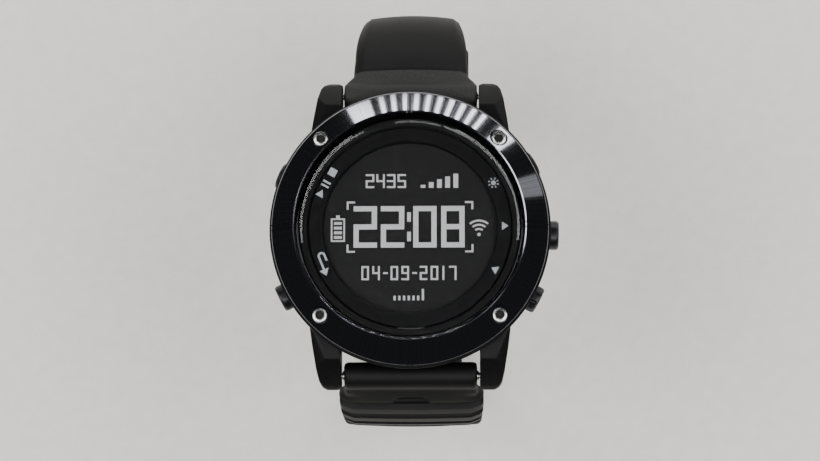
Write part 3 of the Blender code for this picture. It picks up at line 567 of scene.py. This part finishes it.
def bar(x0, y0, x1, y1):
    return flat_shape("bar", [(x0, y0), (x1, y0), (x1, y1), (x0, y1)])


def disc(x, y, radius, count=20, turn=0.0):
    return flat_shape("disc", [(x + radius * math.cos(turn + 2 * math.pi * k / count),
                                y + radius * math.sin(turn + 2 * math.pi * k / count)) for k in range(count)])


def arc_band(x, y, radius, wide, start, end, count=14):
    """A curved stroke about a centre, between two angles in degrees."""
    angles = [math.radians(start + (end - start) * k / count) for k in range(count + 1)]
    outer = [(x + (radius + wide / 2) * math.cos(a), y + (radius + wide / 2) * math.sin(a)) for a in angles]
    inner = [(x + (radius - wide / 2) * math.cos(a), y + (radius - wide / 2) * math.sin(a))
             for a in reversed(angles)]
    return flat_shape("arc", outer + inner)


# pad printed ink, a cool light gray, slightly uneven in its cover
ink, ink_tree, ink_shader = new_finish("pad printed ink, gray", roughness=0.6)
ink_grain = grain(ink_tree, ink_shader, 0.2, 0.004, 0.2)
tint(ink_tree, ink_grain.outputs["Fac"], "#7d8286", "#969b9f", ink_shader.inputs["Base Color"])

sign("sign_start_stop", [flat_shape("play", [(-2.9, -0.75), (-1.6, 0.0), (-2.9, 0.75)]),
                         bar(-0.95, -0.75, -0.6, 0.75),
                         bar(-0.2, -0.75, 0.15, 0.75), bar(1.3, -0.7, 2.7, 0.7)], -61.0)
sign("sign_return", [flat_shape("arrow", [(-2.4, 0.1), (-1.2, -0.75), (-1.2, 0.95)]),
                     bar(-1.25, -0.08, 1.2, 0.28),
                     arc_band(1.2, -0.42, 0.52, 0.36, -90, 90), bar(0.1, -1.12, 1.2, -0.76)], -112.5)
sign("sign_lamp", [disc(0, 0, 0.42)] + [
    flat_shape("ray", [(math.cos(t) * r - math.sin(t) * w, math.sin(t) * r + math.cos(t) * w)
                       for r, w in ((0.62, -0.1), (0.95, -0.1), (0.95, 0.1), (0.62, 0.1))])
    for t in (math.radians(45 * k) for k in range(8))], 62.0)
sign("sign_up", [flat_shape("up", [(-0.75, -0.5), (0.75, -0.5), (0.0, 0.65)])], 89.5)
sign("sign_down", [flat_shape("down", [(-0.75, 0.5), (0.0, -0.65), (0.75, 0.5)])], 117.0)

# ---- Display ----
# A reflective dot matrix display behind the glass: dark gray, with its figures a little raised in light gray.
# It shows a clock: the time in brackets, a count and a date, with a battery and signal marks.
SCREEN_Z = RING_LOW - 0.15
panel = lathe("display_panel",
              [(16.6, SCREEN_Z - 0.8), (16.6, SCREEN_Z - 0.05), (16.55, SCREEN_Z)], 192, False)
smooth(panel, 30)
screen, screen_tree, screen_shader = new_finish("display, reflective", roughness=0.35)
dot_at = add_node(screen_tree, "ShaderNodeTexCoord")
# real dots are 0.127 mm apart, too fine to see from here, so the grid is drawn at 0.38 mm, very faint
DOT = 0.38
brick = add_node(screen_tree, "ShaderNodeTexBrick",
                 {"Scale": 1.0 / (DOT * MM), "Mortar Size": 0.06, "Brick Width": 1.0, "Row Height": 1.0,
                  "offset": 0.0, "Color1": linear("#161616"), "Color2": linear("#181818"),
                  "Mortar": linear("#141414")}, {"Vector": dot_at.outputs["Object"]})
screen_tree.links.new(brick.outputs["Color"], screen_shader.inputs["Base Color"])
# a faint painted glow: the reflective panel gives off a little light so that it reads dark gray under the
# glass
screen_shader.inputs["Emission Color"].default_value = linear("#202021")
screen_shader.inputs["Emission Strength"].default_value = 0.2
screen_shader.inputs["Specular IOR Level"].default_value = 0.08
panel.data.materials.append(screen)
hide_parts("display_module")
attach(panel, "case")

SEGMENTS = {"0": "abcdef", "1": "bc", "2": "abdeg", "3": "abcdg", "4": "bcfg", "5": "acdfg", "6": "acdefg",
            "7": "abc", "8": "abcdefg", "9": "abcdfg", "-": "g"}


def figure(character, x, y, wide, tall, stroke):
    """One figure from straight strokes that meet without overlapping; x and y are its lower left."""
    lit = SEGMENTS[character]
    half = tall / 2
    strokes = []
    for key, base in (("a", tall - stroke), ("g", half - stroke / 2), ("d", 0.0)):
        if key in lit:
            strokes.append(bar(x, y + base, x + wide, y + base + stroke))
    for upper, lower, left in (("f", "e", 0.0), ("b", "c", wide - stroke)):
        for key, low_end, high_end, ends in ((upper, half, tall, "a"), (lower, 0.0, half, "d")):
            if key in lit:
                start = low_end + (stroke / 2 if key == upper and "g" in lit else 0.0)
                start += stroke if key == lower and "d" in lit else 0.0
                stop = high_end - (stroke / 2 if key == lower and "g" in lit else 0.0)
                stop -= stroke if key == upper and ends in lit else 0.0
                strokes.append(bar(x + left, y + start, x + left + stroke, y + stop))
    return strokes


def line_of(text, x, y, wide, tall, stroke, pitch):
    """A row of figures at an even pitch; a dash or a 1 takes a narrower cell."""
    strokes = []
    for character in text:
        narrow = character in "-1"
        inset = 0.5 * stroke if character == "1" else 0.0
        strokes += figure(character, x + inset, y,
                          stroke if character == "1" else (wide * 0.62 if narrow else wide),
                          tall, stroke)
        x += pitch * (0.68 if narrow else 1.0)
    return strokes


def show(name, shapes):
    """One group of lit figures, laid on the display."""
    made = joined(name, shapes)
    made.location.z = (SCREEN_Z + 0.02) * MM
    settle(made)
    made.data.materials.append(lit_gray)
    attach(made, "case")


# lit dots: an even light gray with a painted glow of its own, which stands in for the light falling on the
# figures
lit_gray, lit_tree, lit_shader = new_finish("display, lit dots", roughness=0.5)
lit_at = add_node(lit_tree, "ShaderNodeTexCoord")
lit_grid = add_node(lit_tree, "ShaderNodeTexBrick",
                    {"Scale": 1.0 / (DOT * MM), "Mortar Size": 0.05, "Brick Width": 1.0, "Row Height": 1.0,
                     "offset": 0.0, "Color1": linear("#8c8c8e"), "Color2": linear("#909092"),
                     "Mortar": linear("#828284")}, {"Vector": lit_at.outputs["Object"]})
lit_tree.links.new(lit_grid.outputs["Color"], lit_shader.inputs["Base Color"])
lit_shader.inputs["Emission Color"].default_value = linear("#a8a8aa")
lit_shader.inputs["Emission Strength"].default_value = 0.5

BIG = (4.14, 7.45, 0.92)
time_shapes = []
for character, x in zip("2208", (-9.98, -5.15, 0.57, 5.52)):
    time_shapes += figure(character, x, -3.5, *BIG)
time_shapes += [bar(-0.5, 1.14, 0.16, 2.83), bar(-0.5, -2.36, 0.16, -0.67)]
show("figures_time", time_shapes)
show("figures_count", line_of("2435", -7.84, 7.22, 1.5, 2.5, 0.33, 1.88)
        + [bar(1.9 + 1.45 * k, 7.22, 2.75 + 1.45 * k, 7.75 + 0.5 * k) for k in range(5)])
show("figures_date", line_of("04-09-2017", -8.56, -9.3, 1.32, 2.5, 0.32, 1.92))
show("week_marks", [bar(-2.9 + 0.83 * k, -12.9, -2.5 + 0.83 * k,
                        -10.9 if k == 6 else -12.1) for k in range(7)])
brackets = []
for sx in (-1, 1):
    for sy, edge in ((1, 4.8), (-1, -4.39)):
        x0, x1 = sorted((sx * 11.2, sx * 9.74))
        y0, y1 = sorted((edge, edge - sy * 0.33))
        brackets.append(bar(x0, y0, x1, y1))
        x0, x1 = sorted((sx * 11.2, sx * 10.87))
        y0, y1 = sorted((edge - sy * 0.33, edge - sy * 1.46))
        brackets.append(bar(x0, y0, x1, y1))
show("brackets", brackets)
show("battery_mark", [bar(-14.0, -2.44, -13.72, 1.77), bar(-11.78, -2.44, -11.5, 1.77),
                         bar(-13.72, 1.49, -11.78, 1.77), bar(-13.72, -2.44, -11.78, -2.16),
                         bar(-13.08, 1.77, -12.42, 2.3)]
        + [bar(-13.45, -1.9 + 0.84 * k, -12.05, -1.4 + 0.84 * k) for k in range(4)])
show("signal_mark", [disc(12.2, -1.2, 0.3)]
     + [arc_band(12.2, -1.2, r, 0.33, 50, 130) for r in (1.0, 1.75, 2.5)])

# ---- Buttons ----
# Five turned steel push buttons, coated like the case, each on a stem with a seal and a clip behind the wall.
# The lower right one is knurled; the others have a plain rim and a shallow dished face.
STEM_R, CAP_BACK, STEM_END = 1.0, 23.2, 18.3
KNURLS, KNURL_DEEP = 30, 0.22
# the caps are coated like the case but rubbed by fingers, so the high edges shine a little
rubbed, rubbed_tree, rubbed_shader = new_finish("coated steel, rubbed smooth", metallic=0.75)
rub = grain(rubbed_tree, rubbed_shader, 0.35, 0.008, 0.25)
worn = add_node(rubbed_tree, "ShaderNodeNewGeometry")
edge = add_node(rubbed_tree, "ShaderNodeMapRange", {"From Min": 0.5, "From Max": 0.62},
                {"Value": worn.outputs["Pointiness"]})
coat_mix = add_node(rubbed_tree, "ShaderNodeMix",
                    {"data_type": "RGBA", 6: linear("#1c1c1e"), 7: linear("#3c3c3f")},
                    {0: edge.outputs["Result"]})
rubbed_tree.links.new(coat_mix.outputs[2], rubbed_shader.inputs["Base Color"])
vary(rubbed_tree, rub.outputs["Fac"], 0.28, 0.4, rubbed_shader.inputs["Roughness"])

for key, (clock, proud, cap) in BUTTONS.items():
    face = CASE_R + proud
    knurled = key == "down"
    profile = [(STEM_R, STEM_END), (STEM_R, CAP_BACK), (cap, CAP_BACK), (cap, face - 0.45),
               (cap - 0.12, face - 0.16),
               (cap - 0.38, face), (cap - 0.75, face), (cap - 0.9, face - 0.14)]
    cap_piece = lathe(f"button_cap_{key}", profile, 3 * KNURLS if knurled else 96, False)
    if knurled:
        # every third column of the rim is pressed in, which leaves flat topped knurls
        for vertex in cap_piece.data.vertices:
            r, a = math.hypot(vertex.co.x, vertex.co.y), math.atan2(vertex.co.y, vertex.co.x)
            if r > (cap - 0.5) * MM and round(a / (2 * math.pi / (3 * KNURLS))) % 3 == 0:
                vertex.co.x *= 1 - KNURL_DEEP * MM / r
                vertex.co.y *= 1 - KNURL_DEEP * MM / r
    cap_piece.matrix_world = outward(clock, BUTTON_Z)
    settle(cap_piece)
    smooth(cap_piece, 22)
    cap_piece.data.materials.append(rubbed)
    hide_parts(f"button_{key}")
    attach(cap_piece, f"button_{key}")

# ---- Rear cover ----
# A turned steel lid, its outer face brushed in circles, with a raised land, four counterbored screw seats
# and a plastic block for the four gold charging contacts.
CONTACT_Y = 12.5
COVER_R, COVER_TOP = 21.0, 2.7
cover = lathe("back_lid", [(17.2, 0.0), (17.35, 0.0), (17.5, 0.12), (17.75, 0.12), (17.9, 0.0),
                           (COVER_R - 1.0, 0.0), (COVER_R - 0.85, 0.06), (COVER_R - 0.05, 0.95),
                           (COVER_R, 1.1), (COVER_R, COVER_TOP)], 240, False)
for clock in SCREW_CLOCKS:
    combine(cover, "DIFFERENCE", lathe("seat",
                                       [(1.55, -0.2), (1.3, 0.12), (1.3, 1.35), (0.85, 1.35), (0.85, 4.0)],
                                       48, False, upright(clock, COVER_SCREW_R)))
combine(cover, "DIFFERENCE", box("room", (-5.3, CONTACT_Y - 2.1, -1.0), (5.3, CONTACT_Y + 2.1, 1.65)))
smooth(cover, 25)
# brushed and coated steel: rings of fine scratches round the middle, 0.2 mm apart
brushed, brushed_tree, brushed_shader = new_finish("coated steel, brushed in rings", metallic=0.9)
back_at = add_node(brushed_tree, "ShaderNodeTexCoord")
flat_at = add_node(brushed_tree, "ShaderNodeVectorMath", {"operation": "MULTIPLY", 1: (1.0, 1.0, 0.0)},
                   {0: back_at.outputs["Object"]})
back_r = add_node(brushed_tree, "ShaderNodeVectorMath", {"operation": "LENGTH"},
                  {0: flat_at.outputs["Vector"]})
ringed = add_node(brushed_tree, "ShaderNodeTexNoise",
                  {"noise_dimensions": "1D", "Scale": 1.0 / (0.2 * MM), "Detail": 3.0},
                  {"W": back_r.outputs["Value"]})
back_bump = add_node(brushed_tree, "ShaderNodeBump", {"Strength": 0.25, "Distance": 0.01 * MM},
                     {"Height": ringed.outputs["Fac"]})
brushed_tree.links.new(back_bump.outputs["Normal"], brushed_shader.inputs["Normal"])
tint(brushed_tree, ringed.outputs["Fac"], "#2b2b2d", "#38383b", brushed_shader.inputs["Base Color"])
vary(brushed_tree, ringed.outputs["Fac"], 0.28, 0.42, brushed_shader.inputs["Roughness"])
cover.data.materials.append(brushed)
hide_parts("rear_cover")
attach(cover, "case")

# The charging contacts: gold plated pins with rounded ends, in a moulded block.
CONTACT_PITCH = 2.2
contacts = box("contact_carrier", (-5.0, CONTACT_Y - 1.8, 0.3), (5.0, CONTACT_Y + 1.8, 1.5))
soften(contacts, 0.25)
for i in range(4):
    spot_at = Matrix.Translation(((i - 1.5) * CONTACT_PITCH * MM, CONTACT_Y * MM, 0))
    combine(contacts, "DIFFERENCE",
            lathe("well", [(0.95, 0.2), (0.86, 0.42), (0.86, 1.3)], 32, False, spot_at))
smooth(contacts, 30)
contacts.data.materials.append(moulded)
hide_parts("contact_block")
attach(contacts, "case")
# gold plate over brass: bright, warm and smooth, with slight wear marks from the charger
gold = mottled("gold plated brass", "#c79a45", "#e3bd6c", 0.4, 0.18, 0.32, 0.004, 0.2, metallic=1.0)
for i in range(4):
    pin = lathe(f"contact_pin_{i + 1}", [(0.7, 1.1), (0.7, 0.4), (0.62, 0.24), (0.45, 0.17)], 40, False,
                Matrix.Translation(((i - 1.5) * CONTACT_PITCH * MM, CONTACT_Y * MM, 0)))
    smooth(pin, 40)
    pin.data.materials.append(gold)
    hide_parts(f"charge_contact_{i + 1}")
    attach(pin, "case")

# ---- Spring bars ----
# Two sprung steel tubes with a pin at each end that snaps into the lug.
for name, end in (("spring_bar_12", 1), ("spring_bar_6", -1)):
    half_long, tip = LUG_GAP / 2 - 0.3, LUG_GAP / 2 + 2.2
    half_rod = [(0.55, tip), (0.55, half_long + 0.15), (0.9, half_long), (0.9, half_long - 1.2),
                (0.78, half_long - 1.3), (0.78, half_long - 1.6), (0.9, half_long - 1.7)]
    rod = lathe(name.replace("spring", "sprung"), half_rod + [(r, -z) for r, z in reversed(half_rod)],
                40, False, across(end * BAR_Y, BAR_Z))
    smooth(rod, 30)
    rod.data.materials.append(stainless)
    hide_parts(name)
    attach(rod, "case")

# ---- Strap ----
# Two halves of moulded silicone rubber, each hung on its spring bar and bent by hand to a wrist's shape.
# The 12 o'clock half is plain and crowned; the 6 o'clock half has cross ribs by the case and nine holes.
UPPER = {"end": 1, "heading": -25.0, "route": ((None, 6.8), (20.0, 65.0), (100.0, 9.0), (None, 29.0))}
LOWER = {"end": -1, "heading": -55.0,
         "route": ((None, 0.5), (28.6, 41.8), (None, 44.0), (30.0, 64.0), (60.0, 12.0))}
THICK, THIN, HEAD_WIDE, END_WIDE, EYE_R = 3.0, 2.4, 24.0, 18.0, 2.1
for half in (UPPER, LOWER):
    half["length"] = sum(a if r is None else r * math.radians(a) for r, a in half["route"])


def along(half, distance):
    """Reach, height and heading at a distance from the spring bar along a half's middle, in millimetres."""
    y, z, heading, left = BAR_Y, BAR_Z, half["heading"], distance
    for radius, amount in half["route"]:
        h = math.radians(heading)
        part = min(left, amount if radius is None else radius * math.radians(amount))
        if radius is None:
            y, z = y + part * math.cos(h), z + part * math.sin(h)
        else:
            turn = part / radius
            y += radius * (math.sin(h) - math.sin(h - turn))
            z -= radius * (math.cos(h) - math.cos(h - turn))
            heading -= math.degrees(turn)
        left -= part
        if abs(left) < 1e-9:
            break
    h = math.radians(heading)
    return y + left * math.cos(h), z + left * math.sin(h), heading


def on_strap(half, distance):
    """Local Y runs along the strap, Z outward through it and X across."""
    y, z, heading = along(half, distance)
    h, end = math.radians(heading), half["end"]
    forward = Vector((0.0, end * math.cos(h), math.sin(h)))
    face = Vector((0.0, -end * math.sin(h), math.cos(h)))
    turn = Matrix((forward.cross(face), forward, face)).transposed().to_4x4()
    return Matrix.Translation((0.0, end * y * MM, z * MM)) @ turn


def ease(distance, stops):
    """A value read between stops of (distance, value), with a smooth change at each."""
    for (d0, v0), (d1, v1) in zip(stops, stops[1:]):
        if distance <= d1:
            t = max(0.0, (distance - d0) / (d1 - d0))
            return v0 + (v1 - v0) * t * t * (3 - 2 * t)
    return stops[-1][1]


def rounded_end(distance, radius):
    """Half thickness of a round of that radius about distance 0."""
    return math.sqrt(max(radius * radius - distance * distance, 0.0))


ACROSS, CORNER = 36, 5          # faces over the flat of the strap, and round each of its corners


def section(across_at, wide, top, bottom, corner, crown, relief):
    """A point of the strap's outline. across_at counts round it: over the top, down, under and up again."""
    count = 2 * (ACROSS + 2 * CORNER)
    k = across_at % count
    under = k > ACROSS + 2 * CORNER
    k = count - k if under else k
    flat = wide / 2 - corner
    if k < CORNER:
        t = math.radians(90 * k / CORNER)
        x, drop = -flat - corner * math.cos(t), corner * (1 - math.sin(t))
    elif k > ACROSS + CORNER:
        t = math.radians(90 * (ACROSS + 2 * CORNER - k) / CORNER)
        x, drop = flat + corner * math.cos(t), corner * (1 - math.sin(t))
    else:
        x, drop = flat * (2 * (k - CORNER) / ACROSS - 1), 0.0
    if under:
        return x, -bottom + drop * min(1.0, bottom / max(corner, 0.01))
    rise = top - drop * min(1.0, top / max(corner, 0.01))
    return x, rise + crown * (1 - (2 * x / wide) ** 2) * min(1.0, top) - relief(x)


def mould(name, half, stations, shape):
    """A strap half: a grid wrapped into a tube round the strap's outline at each station, its ends filled."""
    count = 2 * (ACROSS + 2 * CORNER)
    bpy.ops.object.select_all(action="DESELECT")
    bpy.ops.mesh.primitive_grid_add(x_subdivisions=count, y_subdivisions=len(stations) - 1, size=1.0)
    made = bpy.context.object
    made.name = name
    for vertex in made.data.vertices:
        k, i = round((vertex.co.x + 0.5) * count), round((vertex.co.y + 0.5) * (len(stations) - 1))
        x, z = section(k, *shape(stations[i]))
        vertex.co = on_strap(half, stations[i]) @ Vector((x * MM, 0.0, z * MM))
    edit(made)
    bpy.ops.mesh.select_all(action="SELECT")
    bpy.ops.mesh.remove_doubles(threshold=0.000002)
    bpy.ops.mesh.select_all(action="SELECT")
    bpy.ops.mesh.fill_holes(sides=0)
    bpy.ops.mesh.select_all(action="SELECT")
    bpy.ops.mesh.normals_make_consistent(inside=False)
    done()
    return made


def spaced(*runs):
    """Stations from runs of (start, stop, step)."""
    found = []
    for start, stop, step in runs:
        steps = max(1, round((stop - start) / step))
        found += [start + (stop - start) * k / steps for k in range(steps)]
    return found + [runs[-1][1]]


def bar_place(half, distance):
    return on_strap(half, distance) @ Matrix.Rotation(math.pi / 2, 4, "Y")


def thickness(half, distance):
    return (THICK + (THIN - THICK) * min(1.0, max(0.0, distance) / half["length"])) / 2


def upper_shape(distance):
    """The 12 o'clock half: a full width round head, slanting shoulders, then a crowned band."""
    length, body = UPPER["length"], thickness(UPPER, distance)
    wide = ease(distance, [(1.4, HEAD_WIDE), (4.4, 20.8), (9.0, 20.4), (24.0, 18.0), (length, END_WIDE)])
    head = rounded_end(distance, HEAD_R) if distance < HEAD_R else 0.0
    eye = rounded_end(distance - length, EYE_R) if distance > length - EYE_R else 0.0
    lifted = distance > 0 or head > body
    top = max(head, eye, body if 0 < distance < length else 0.02)
    fade = ease(distance, [(2.0, 0.0), (5.0, 1.0), (length - 8.0, 1.0), (length - 3.0, 0.15)])
    return wide, top, top if lifted else head, min(0.9, top), 0.75 * fade, lambda x: 0.35 * fade * (
        1.0 if abs(x) > wide / 2 - 1.3 else 0.0) * min(1.0, (abs(x) - wide / 2 + 1.3) / 0.5)


GROOVES = ((6.1, 7.7), (10.4, 11.7), (14.8, 16.0), (18.8, 19.9))
GROOVE_DEEP = 1.0


def groove(distance):
    """How far the surface is sunk by the cross grooves, with a slope at each wall."""
    for start, stop in GROOVES:
        if start - 0.35 < distance < stop + 0.35:
            return GROOVE_DEEP * min(1.0, (distance - start + 0.35) / 0.45, (stop + 0.35 - distance) / 0.45)
    return 0.0


def lower_shape(distance):
    """The 6 o'clock half: a round head, a smooth step with a half moon recess, cross ribs, then the band."""
    length, body = LOWER["length"], thickness(LOWER, distance)
    left = length - distance
    wide = ease(distance, [(1.8, HEAD_WIDE - 0.4), (3.6, HEAD_WIDE - 0.3), (5.8, 26.0), (9.5, 26.0),
                           (18.0, 25.6), (60.0, 18.5), (length - 8.0, END_WIDE)])
    if left < 8.0:
        wide *= 1 - 0.47 * (1 - left / 8.0) ** 2.4
    head = rounded_end(distance, HEAD_R) if distance < HEAD_R else 0.0
    tip = math.sqrt(max(0.0, 1 - (1 - left / 0.9) ** 2)) if left < 0.9 else 1.0
    top = max(head, max(body * tip, 0.05) if distance > 0 else 0.02)
    ribbed = ease(distance, [(3.0, 0.0), (5.0, 1.0), (18.0, 1.0), (24.0, 0.0)])
    sunk = groove(distance)
    crown = 0.3 + 0.35 * ease(distance, [(16.0, 0.0), (30.0, 1.0)])

    def relief(x):
        edge_slope = 0.8 * ribbed * max(0.0, min(1.0, (abs(x) - wide / 2 + 2.3) / 2.3))
        moon = 0.0
        if 3.3 < distance < 5.95 and abs(x) < 3.3:
            inside = 1.0 - (x / 3.15) ** 2 - ((5.85 - distance) / 2.3) ** 2
            moon = 0.95 * max(0.0, min(1.0, inside / 0.12)) * min(1.0, (5.95 - distance) / 0.2)
        return edge_slope + sunk + moon

    return wide, top, top, min(0.8, top), crown * min(1.0, max(0.0, distance - 2.0) / 3.0), relief


upper = mould("strap_plain_half", UPPER,
              spaced((-2.38, -1.6, 0.13), (-1.6, 9.0, 0.4), (9.0, UPPER["length"] - 5.0, 1.0),
                     (UPPER["length"] - 5.0, UPPER["length"] + 1.6, 0.35),
                     (UPPER["length"] + 1.6, UPPER["length"] + EYE_R - 0.02, 0.1)), upper_shape)
length = UPPER["length"]
combine(upper, "DIFFERENCE",
        lathe("bore", [(0.95, 13.0), (0.95, -13.0)], 32, False, across(BAR_Y, BAR_Z)),
        lathe("bar_bore", [(0.8, 10.0), (0.8, -10.0)], 32, False, bar_place(UPPER, length)),
        box("tongue_slot", (-1.7, -4.6, -4.0), (1.7, 5.0, 4.0), on_strap(UPPER, length)))
smooth(upper, 35)

lower = mould("strap_holed_half", LOWER,
              spaced((-2.38, -1.6, 0.13), (-1.6, 3.0, 0.4), (3.0, 21.0, 0.17),
                     (21.0, LOWER["length"] - 9.0, 1.2),
                     (LOWER["length"] - 9.0, LOWER["length"] - 0.9, 0.5),
                     (LOWER["length"] - 0.9, LOWER["length"] - 0.005, 0.12)), lower_shape)
combine(lower, "DIFFERENCE", lathe("bore", [(0.95, 13.0), (0.95, -13.0)], 32, False, across(-BAR_Y, BAR_Z)))
HOLES, FIRST_HOLE, HOLE_PITCH = 9, 10.0, 6.0
for k in range(HOLES):
    at = LOWER["length"] - FIRST_HOLE - HOLE_PITCH * k
    deep = thickness(LOWER, at)
    combine(lower, "DIFFERENCE",
            lathe("hole", [(2.0, deep + 1.4), (1.3, deep + 0.15), (1.3, -deep + 0.2), (2.0, -deep - 0.5)], 32,
                  False, on_strap(LOWER, at)))
smooth(lower, 35)

# silicone rubber, moulded and dusted: near black and matte, with a fine skin and faint gray handling bloom
silicone, silicone_tree, silicone_shader = new_finish("silicone rubber, moulded")
skin = grain(silicone_tree, silicone_shader, 0.25, 0.012, 0.35)
skin_at = add_node(silicone_tree, "ShaderNodeTexCoord")
bloom = add_node(silicone_tree, "ShaderNodeTexNoise", {"Scale": 1.0 / (9.0 * MM), "Detail": 4.0},
                 {"Vector": skin_at.outputs["Object"]})
tint(silicone_tree, bloom.outputs["Fac"], "#070707", "#0c0c0c", silicone_shader.inputs["Base Color"])
vary(silicone_tree, skin.outputs["Fac"], 0.45, 0.6, silicone_shader.inputs["Roughness"])
silicone_shader.inputs["Specular IOR Level"].default_value = 0.15
# the 12 o'clock head and shoulders have a rougher moulded grain, and are also painted a lighter gray that
# stands in for the light on their upward faces
grain_and_painted_light = mottled("silicone rubber, mould textured", "#1e1e1e", "#2b2b2a", 0.3, 0.6, 0.8, 0.03, 0.5, 0.35)
upper.data.materials.append(silicone)
upper.data.materials.append(grain_and_painted_light)
SHOULDER_LONG, SHOULDER_LOW = 4.6, -2.0
shoulder_end = on_strap(UPPER, SHOULDER_LONG).inverted()
# the faces of the head and shoulders take the painted light
for face in upper.data.polygons:
    in_painted_light = (shoulder_end @ face.center).y < 0 and face.center.z > SHOULDER_LOW * MM
    face.material_index = 1 if in_painted_light else 0
lower.data.materials.append(silicone)
FLEX = {"strap_12": (UPPER, 30.0), "strap_6": (LOWER, 40.0)}
for piece, body in ((upper, "strap_12"), (lower, "strap_6")):
    half, flex_at = FLEX[body]
    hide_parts(body, body + "_end")
    on_strap(half, flex_at - 10.0).to_translation()
    on_strap(half, flex_at + 10.0).to_translation()
    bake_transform(piece)

# ---- Keepers ----
# Two loops of the same silicone round the 12 o'clock half: one moulded in place, one that slides.
for name, back, body in (("keeper_fixed", 10.0, "strap_12_end"), ("keeper_free", 18.0, "keeper_free")):
    at = UPPER["length"] - back
    wide = END_WIDE / 2 + 0.3
    floor_z = -thickness(UPPER, at) - 0.3
    place = on_strap(UPPER, at)
    loop = box(name.replace("keeper", "loop"), (-wide - 1.3, -2.5, floor_z - 1.3),
               (wide + 1.3, 2.5, floor_z + 7.3), place)
    soften(loop, 1.1, 4)
    room = box("room", (-wide, -9.0, floor_z), (wide, 9.0, floor_z + 6.0), place)
    soften(room, 0.6, 3)
    combine(loop, "DIFFERENCE", room)
    soften(loop, 0.25, 2, 60.0)
    smooth(loop, 35)
    loop.data.materials.append(silicone)
    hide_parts(name)
    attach(loop, body)

# ---- Buckle ----
# A cast steel U on a cross bar, coated satin black, with a stamped tongue that reaches over its front.
BUCKLE_IN, BUCKLE_ARM, BUCKLE_LONG, BUCKLE_FRONT, BUCKLE_REAR, BUCKLE_THICK = 9.3, 2.4, 13.5, 2.7, 2.1, 2.4
BUCKLE_OUT = BUCKLE_IN + BUCKLE_ARM
buckle_at = on_strap(UPPER, UPPER["length"])
bar_at = bar_place(UPPER, UPPER["length"])
turns = [math.radians(15 * k) for k in range(7)]
rear = [(BUCKLE_OUT - 0.9 + 0.9 * math.cos(t),
         -BUCKLE_REAR + 0.9 - 0.9 * math.sin(t)) for t in reversed(turns)]
front = [(BUCKLE_OUT - 3.5 + 3.5 * math.cos(t), BUCKLE_LONG - 3.5 + 3.5 * math.sin(t)) for t in turns]
inner = [(BUCKLE_IN - 1.4 + 1.4 * math.cos(t),
          BUCKLE_LONG - BUCKLE_FRONT - 1.4 + 1.4 * math.sin(t)) for t in reversed(turns)]
right = rear + front
outline = right + [(-x, y) for x, y in reversed(right)]
outline += [(-BUCKLE_IN, -BUCKLE_REAR)] + [(-x, y) for x, y in reversed(inner)]
outline += inner + [(BUCKLE_IN, -BUCKLE_REAR)]
buckle = slab("buckle_loop", outline, BUCKLE_THICK,
              buckle_at @ Matrix.Translation((0, 0, -BUCKLE_THICK / 2 * MM)))
soften(buckle, 0.55, 4, 40.0)
combine(buckle, "DIFFERENCE", lathe("bore", [(0.85, 11.1), (0.85, -11.1)], 32, False, bar_at))
smooth(buckle, 35)
buckle.data.materials.append(rubbed)
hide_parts("buckle_frame")
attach(buckle, "buckle_frame")

cross_bar = lathe("buckle_pin", [(0.75, 11.0), (0.75, -11.0)], 40, False, bar_at)
smooth(cross_bar, 40)
cross_bar.data.materials.append(stainless)
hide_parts("buckle_bar")
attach(cross_bar, "strap_12_end")

TONGUE_WIDE, TONGUE_THICK, TONGUE_EYE = 2.6, 1.3, 1.05
low_z = BUCKLE_THICK / 2 + 0.3
reach = BUCKLE_LONG
blade = [(0.0, TONGUE_EYE + 0.8), (0.0, TONGUE_EYE + 0.1), (TONGUE_EYE + 0.2, 0.0), (TONGUE_EYE + 0.8, 0.0),
         (TONGUE_EYE + 1.8, low_z - 0.8), (reach - BUCKLE_FRONT - 1.0, low_z), (reach + 0.2, low_z),
         (reach + 0.6, low_z + 0.4), (reach + 0.2, low_z + TONGUE_THICK - 0.4),
         (reach - 3.0, low_z + TONGUE_THICK), (TONGUE_EYE + 0.8, low_z + TONGUE_THICK)]
tongue = slab("buckle_prong", blade, TONGUE_WIDE,
              buckle_at @ Matrix.Translation((-TONGUE_WIDE / 2 * MM, 0, 0)) @ SIDE_ON)
eye = lathe("prong_eye", [(TONGUE_EYE + 0.8, TONGUE_WIDE / 2), (TONGUE_EYE + 0.8, -TONGUE_WIDE / 2)],
            48, False, bar_at)
combine(tongue, "UNION", eye)
combine(tongue, "DIFFERENCE", lathe("bore", [(TONGUE_EYE, 3.0), (TONGUE_EYE, -3.0)], 48, False, bar_at))
face_out(tongue)
soften(tongue, 0.2, 2, 35.0)
smooth(tongue, 35)
tongue.data.materials.append(rubbed)
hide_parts("buckle_tongue")
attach(tongue, "buckle_tongue")

# ---- Inside ----
# The module under the dial: boards, battery, motor, switches and seals, kept as the frame has them.
# None of it shows when the watch is whole, but each piece has the finish of what it is made of.


def dress(finish, *names):
    for name in names:
        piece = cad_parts[name]
        if not piece.material_slots:
            piece.data.materials.append(finish)
        for place in piece.material_slots:
            place.material = finish


dress(mottled("circuit board, green solder mask", "#0f3d24", "#14502f", 0.8, 0.3, 0.45), "circuit_board")
dress(mottled("polyimide film, amber", "#9a5514", "#b5691e", 1.5, 0.2, 0.3), "display_ribbon")
dress(mottled("nickel silver, stamped", "#a5a5a0", "#bcbcb7", 0.6, 0.25, 0.4, metallic=1.0), "shield_can",
      "vibration_motor", *[f"button_{key}_clip" for key in BUTTONS], *[f"switch_{key}" for key in BUTTONS])
dress(mottled("aluminium foil pouch", "#9b9da0", "#b6b8bb", 2.0, 0.3, 0.5, metallic=0.9), "battery")
dress(mottled("nylon, moulded black", "#131415", "#1b1c1d", 0.4, 0.45, 0.6), "module_chassis")
dress(mottled("brass, rolled", "#a37f3c", "#bd9750", 0.7, 0.3, 0.45, metallic=1.0), "buzzer_disc")
dress(nitrile, "rear_gasket", *[f"button_{key}_seal" for key in BUTTONS])
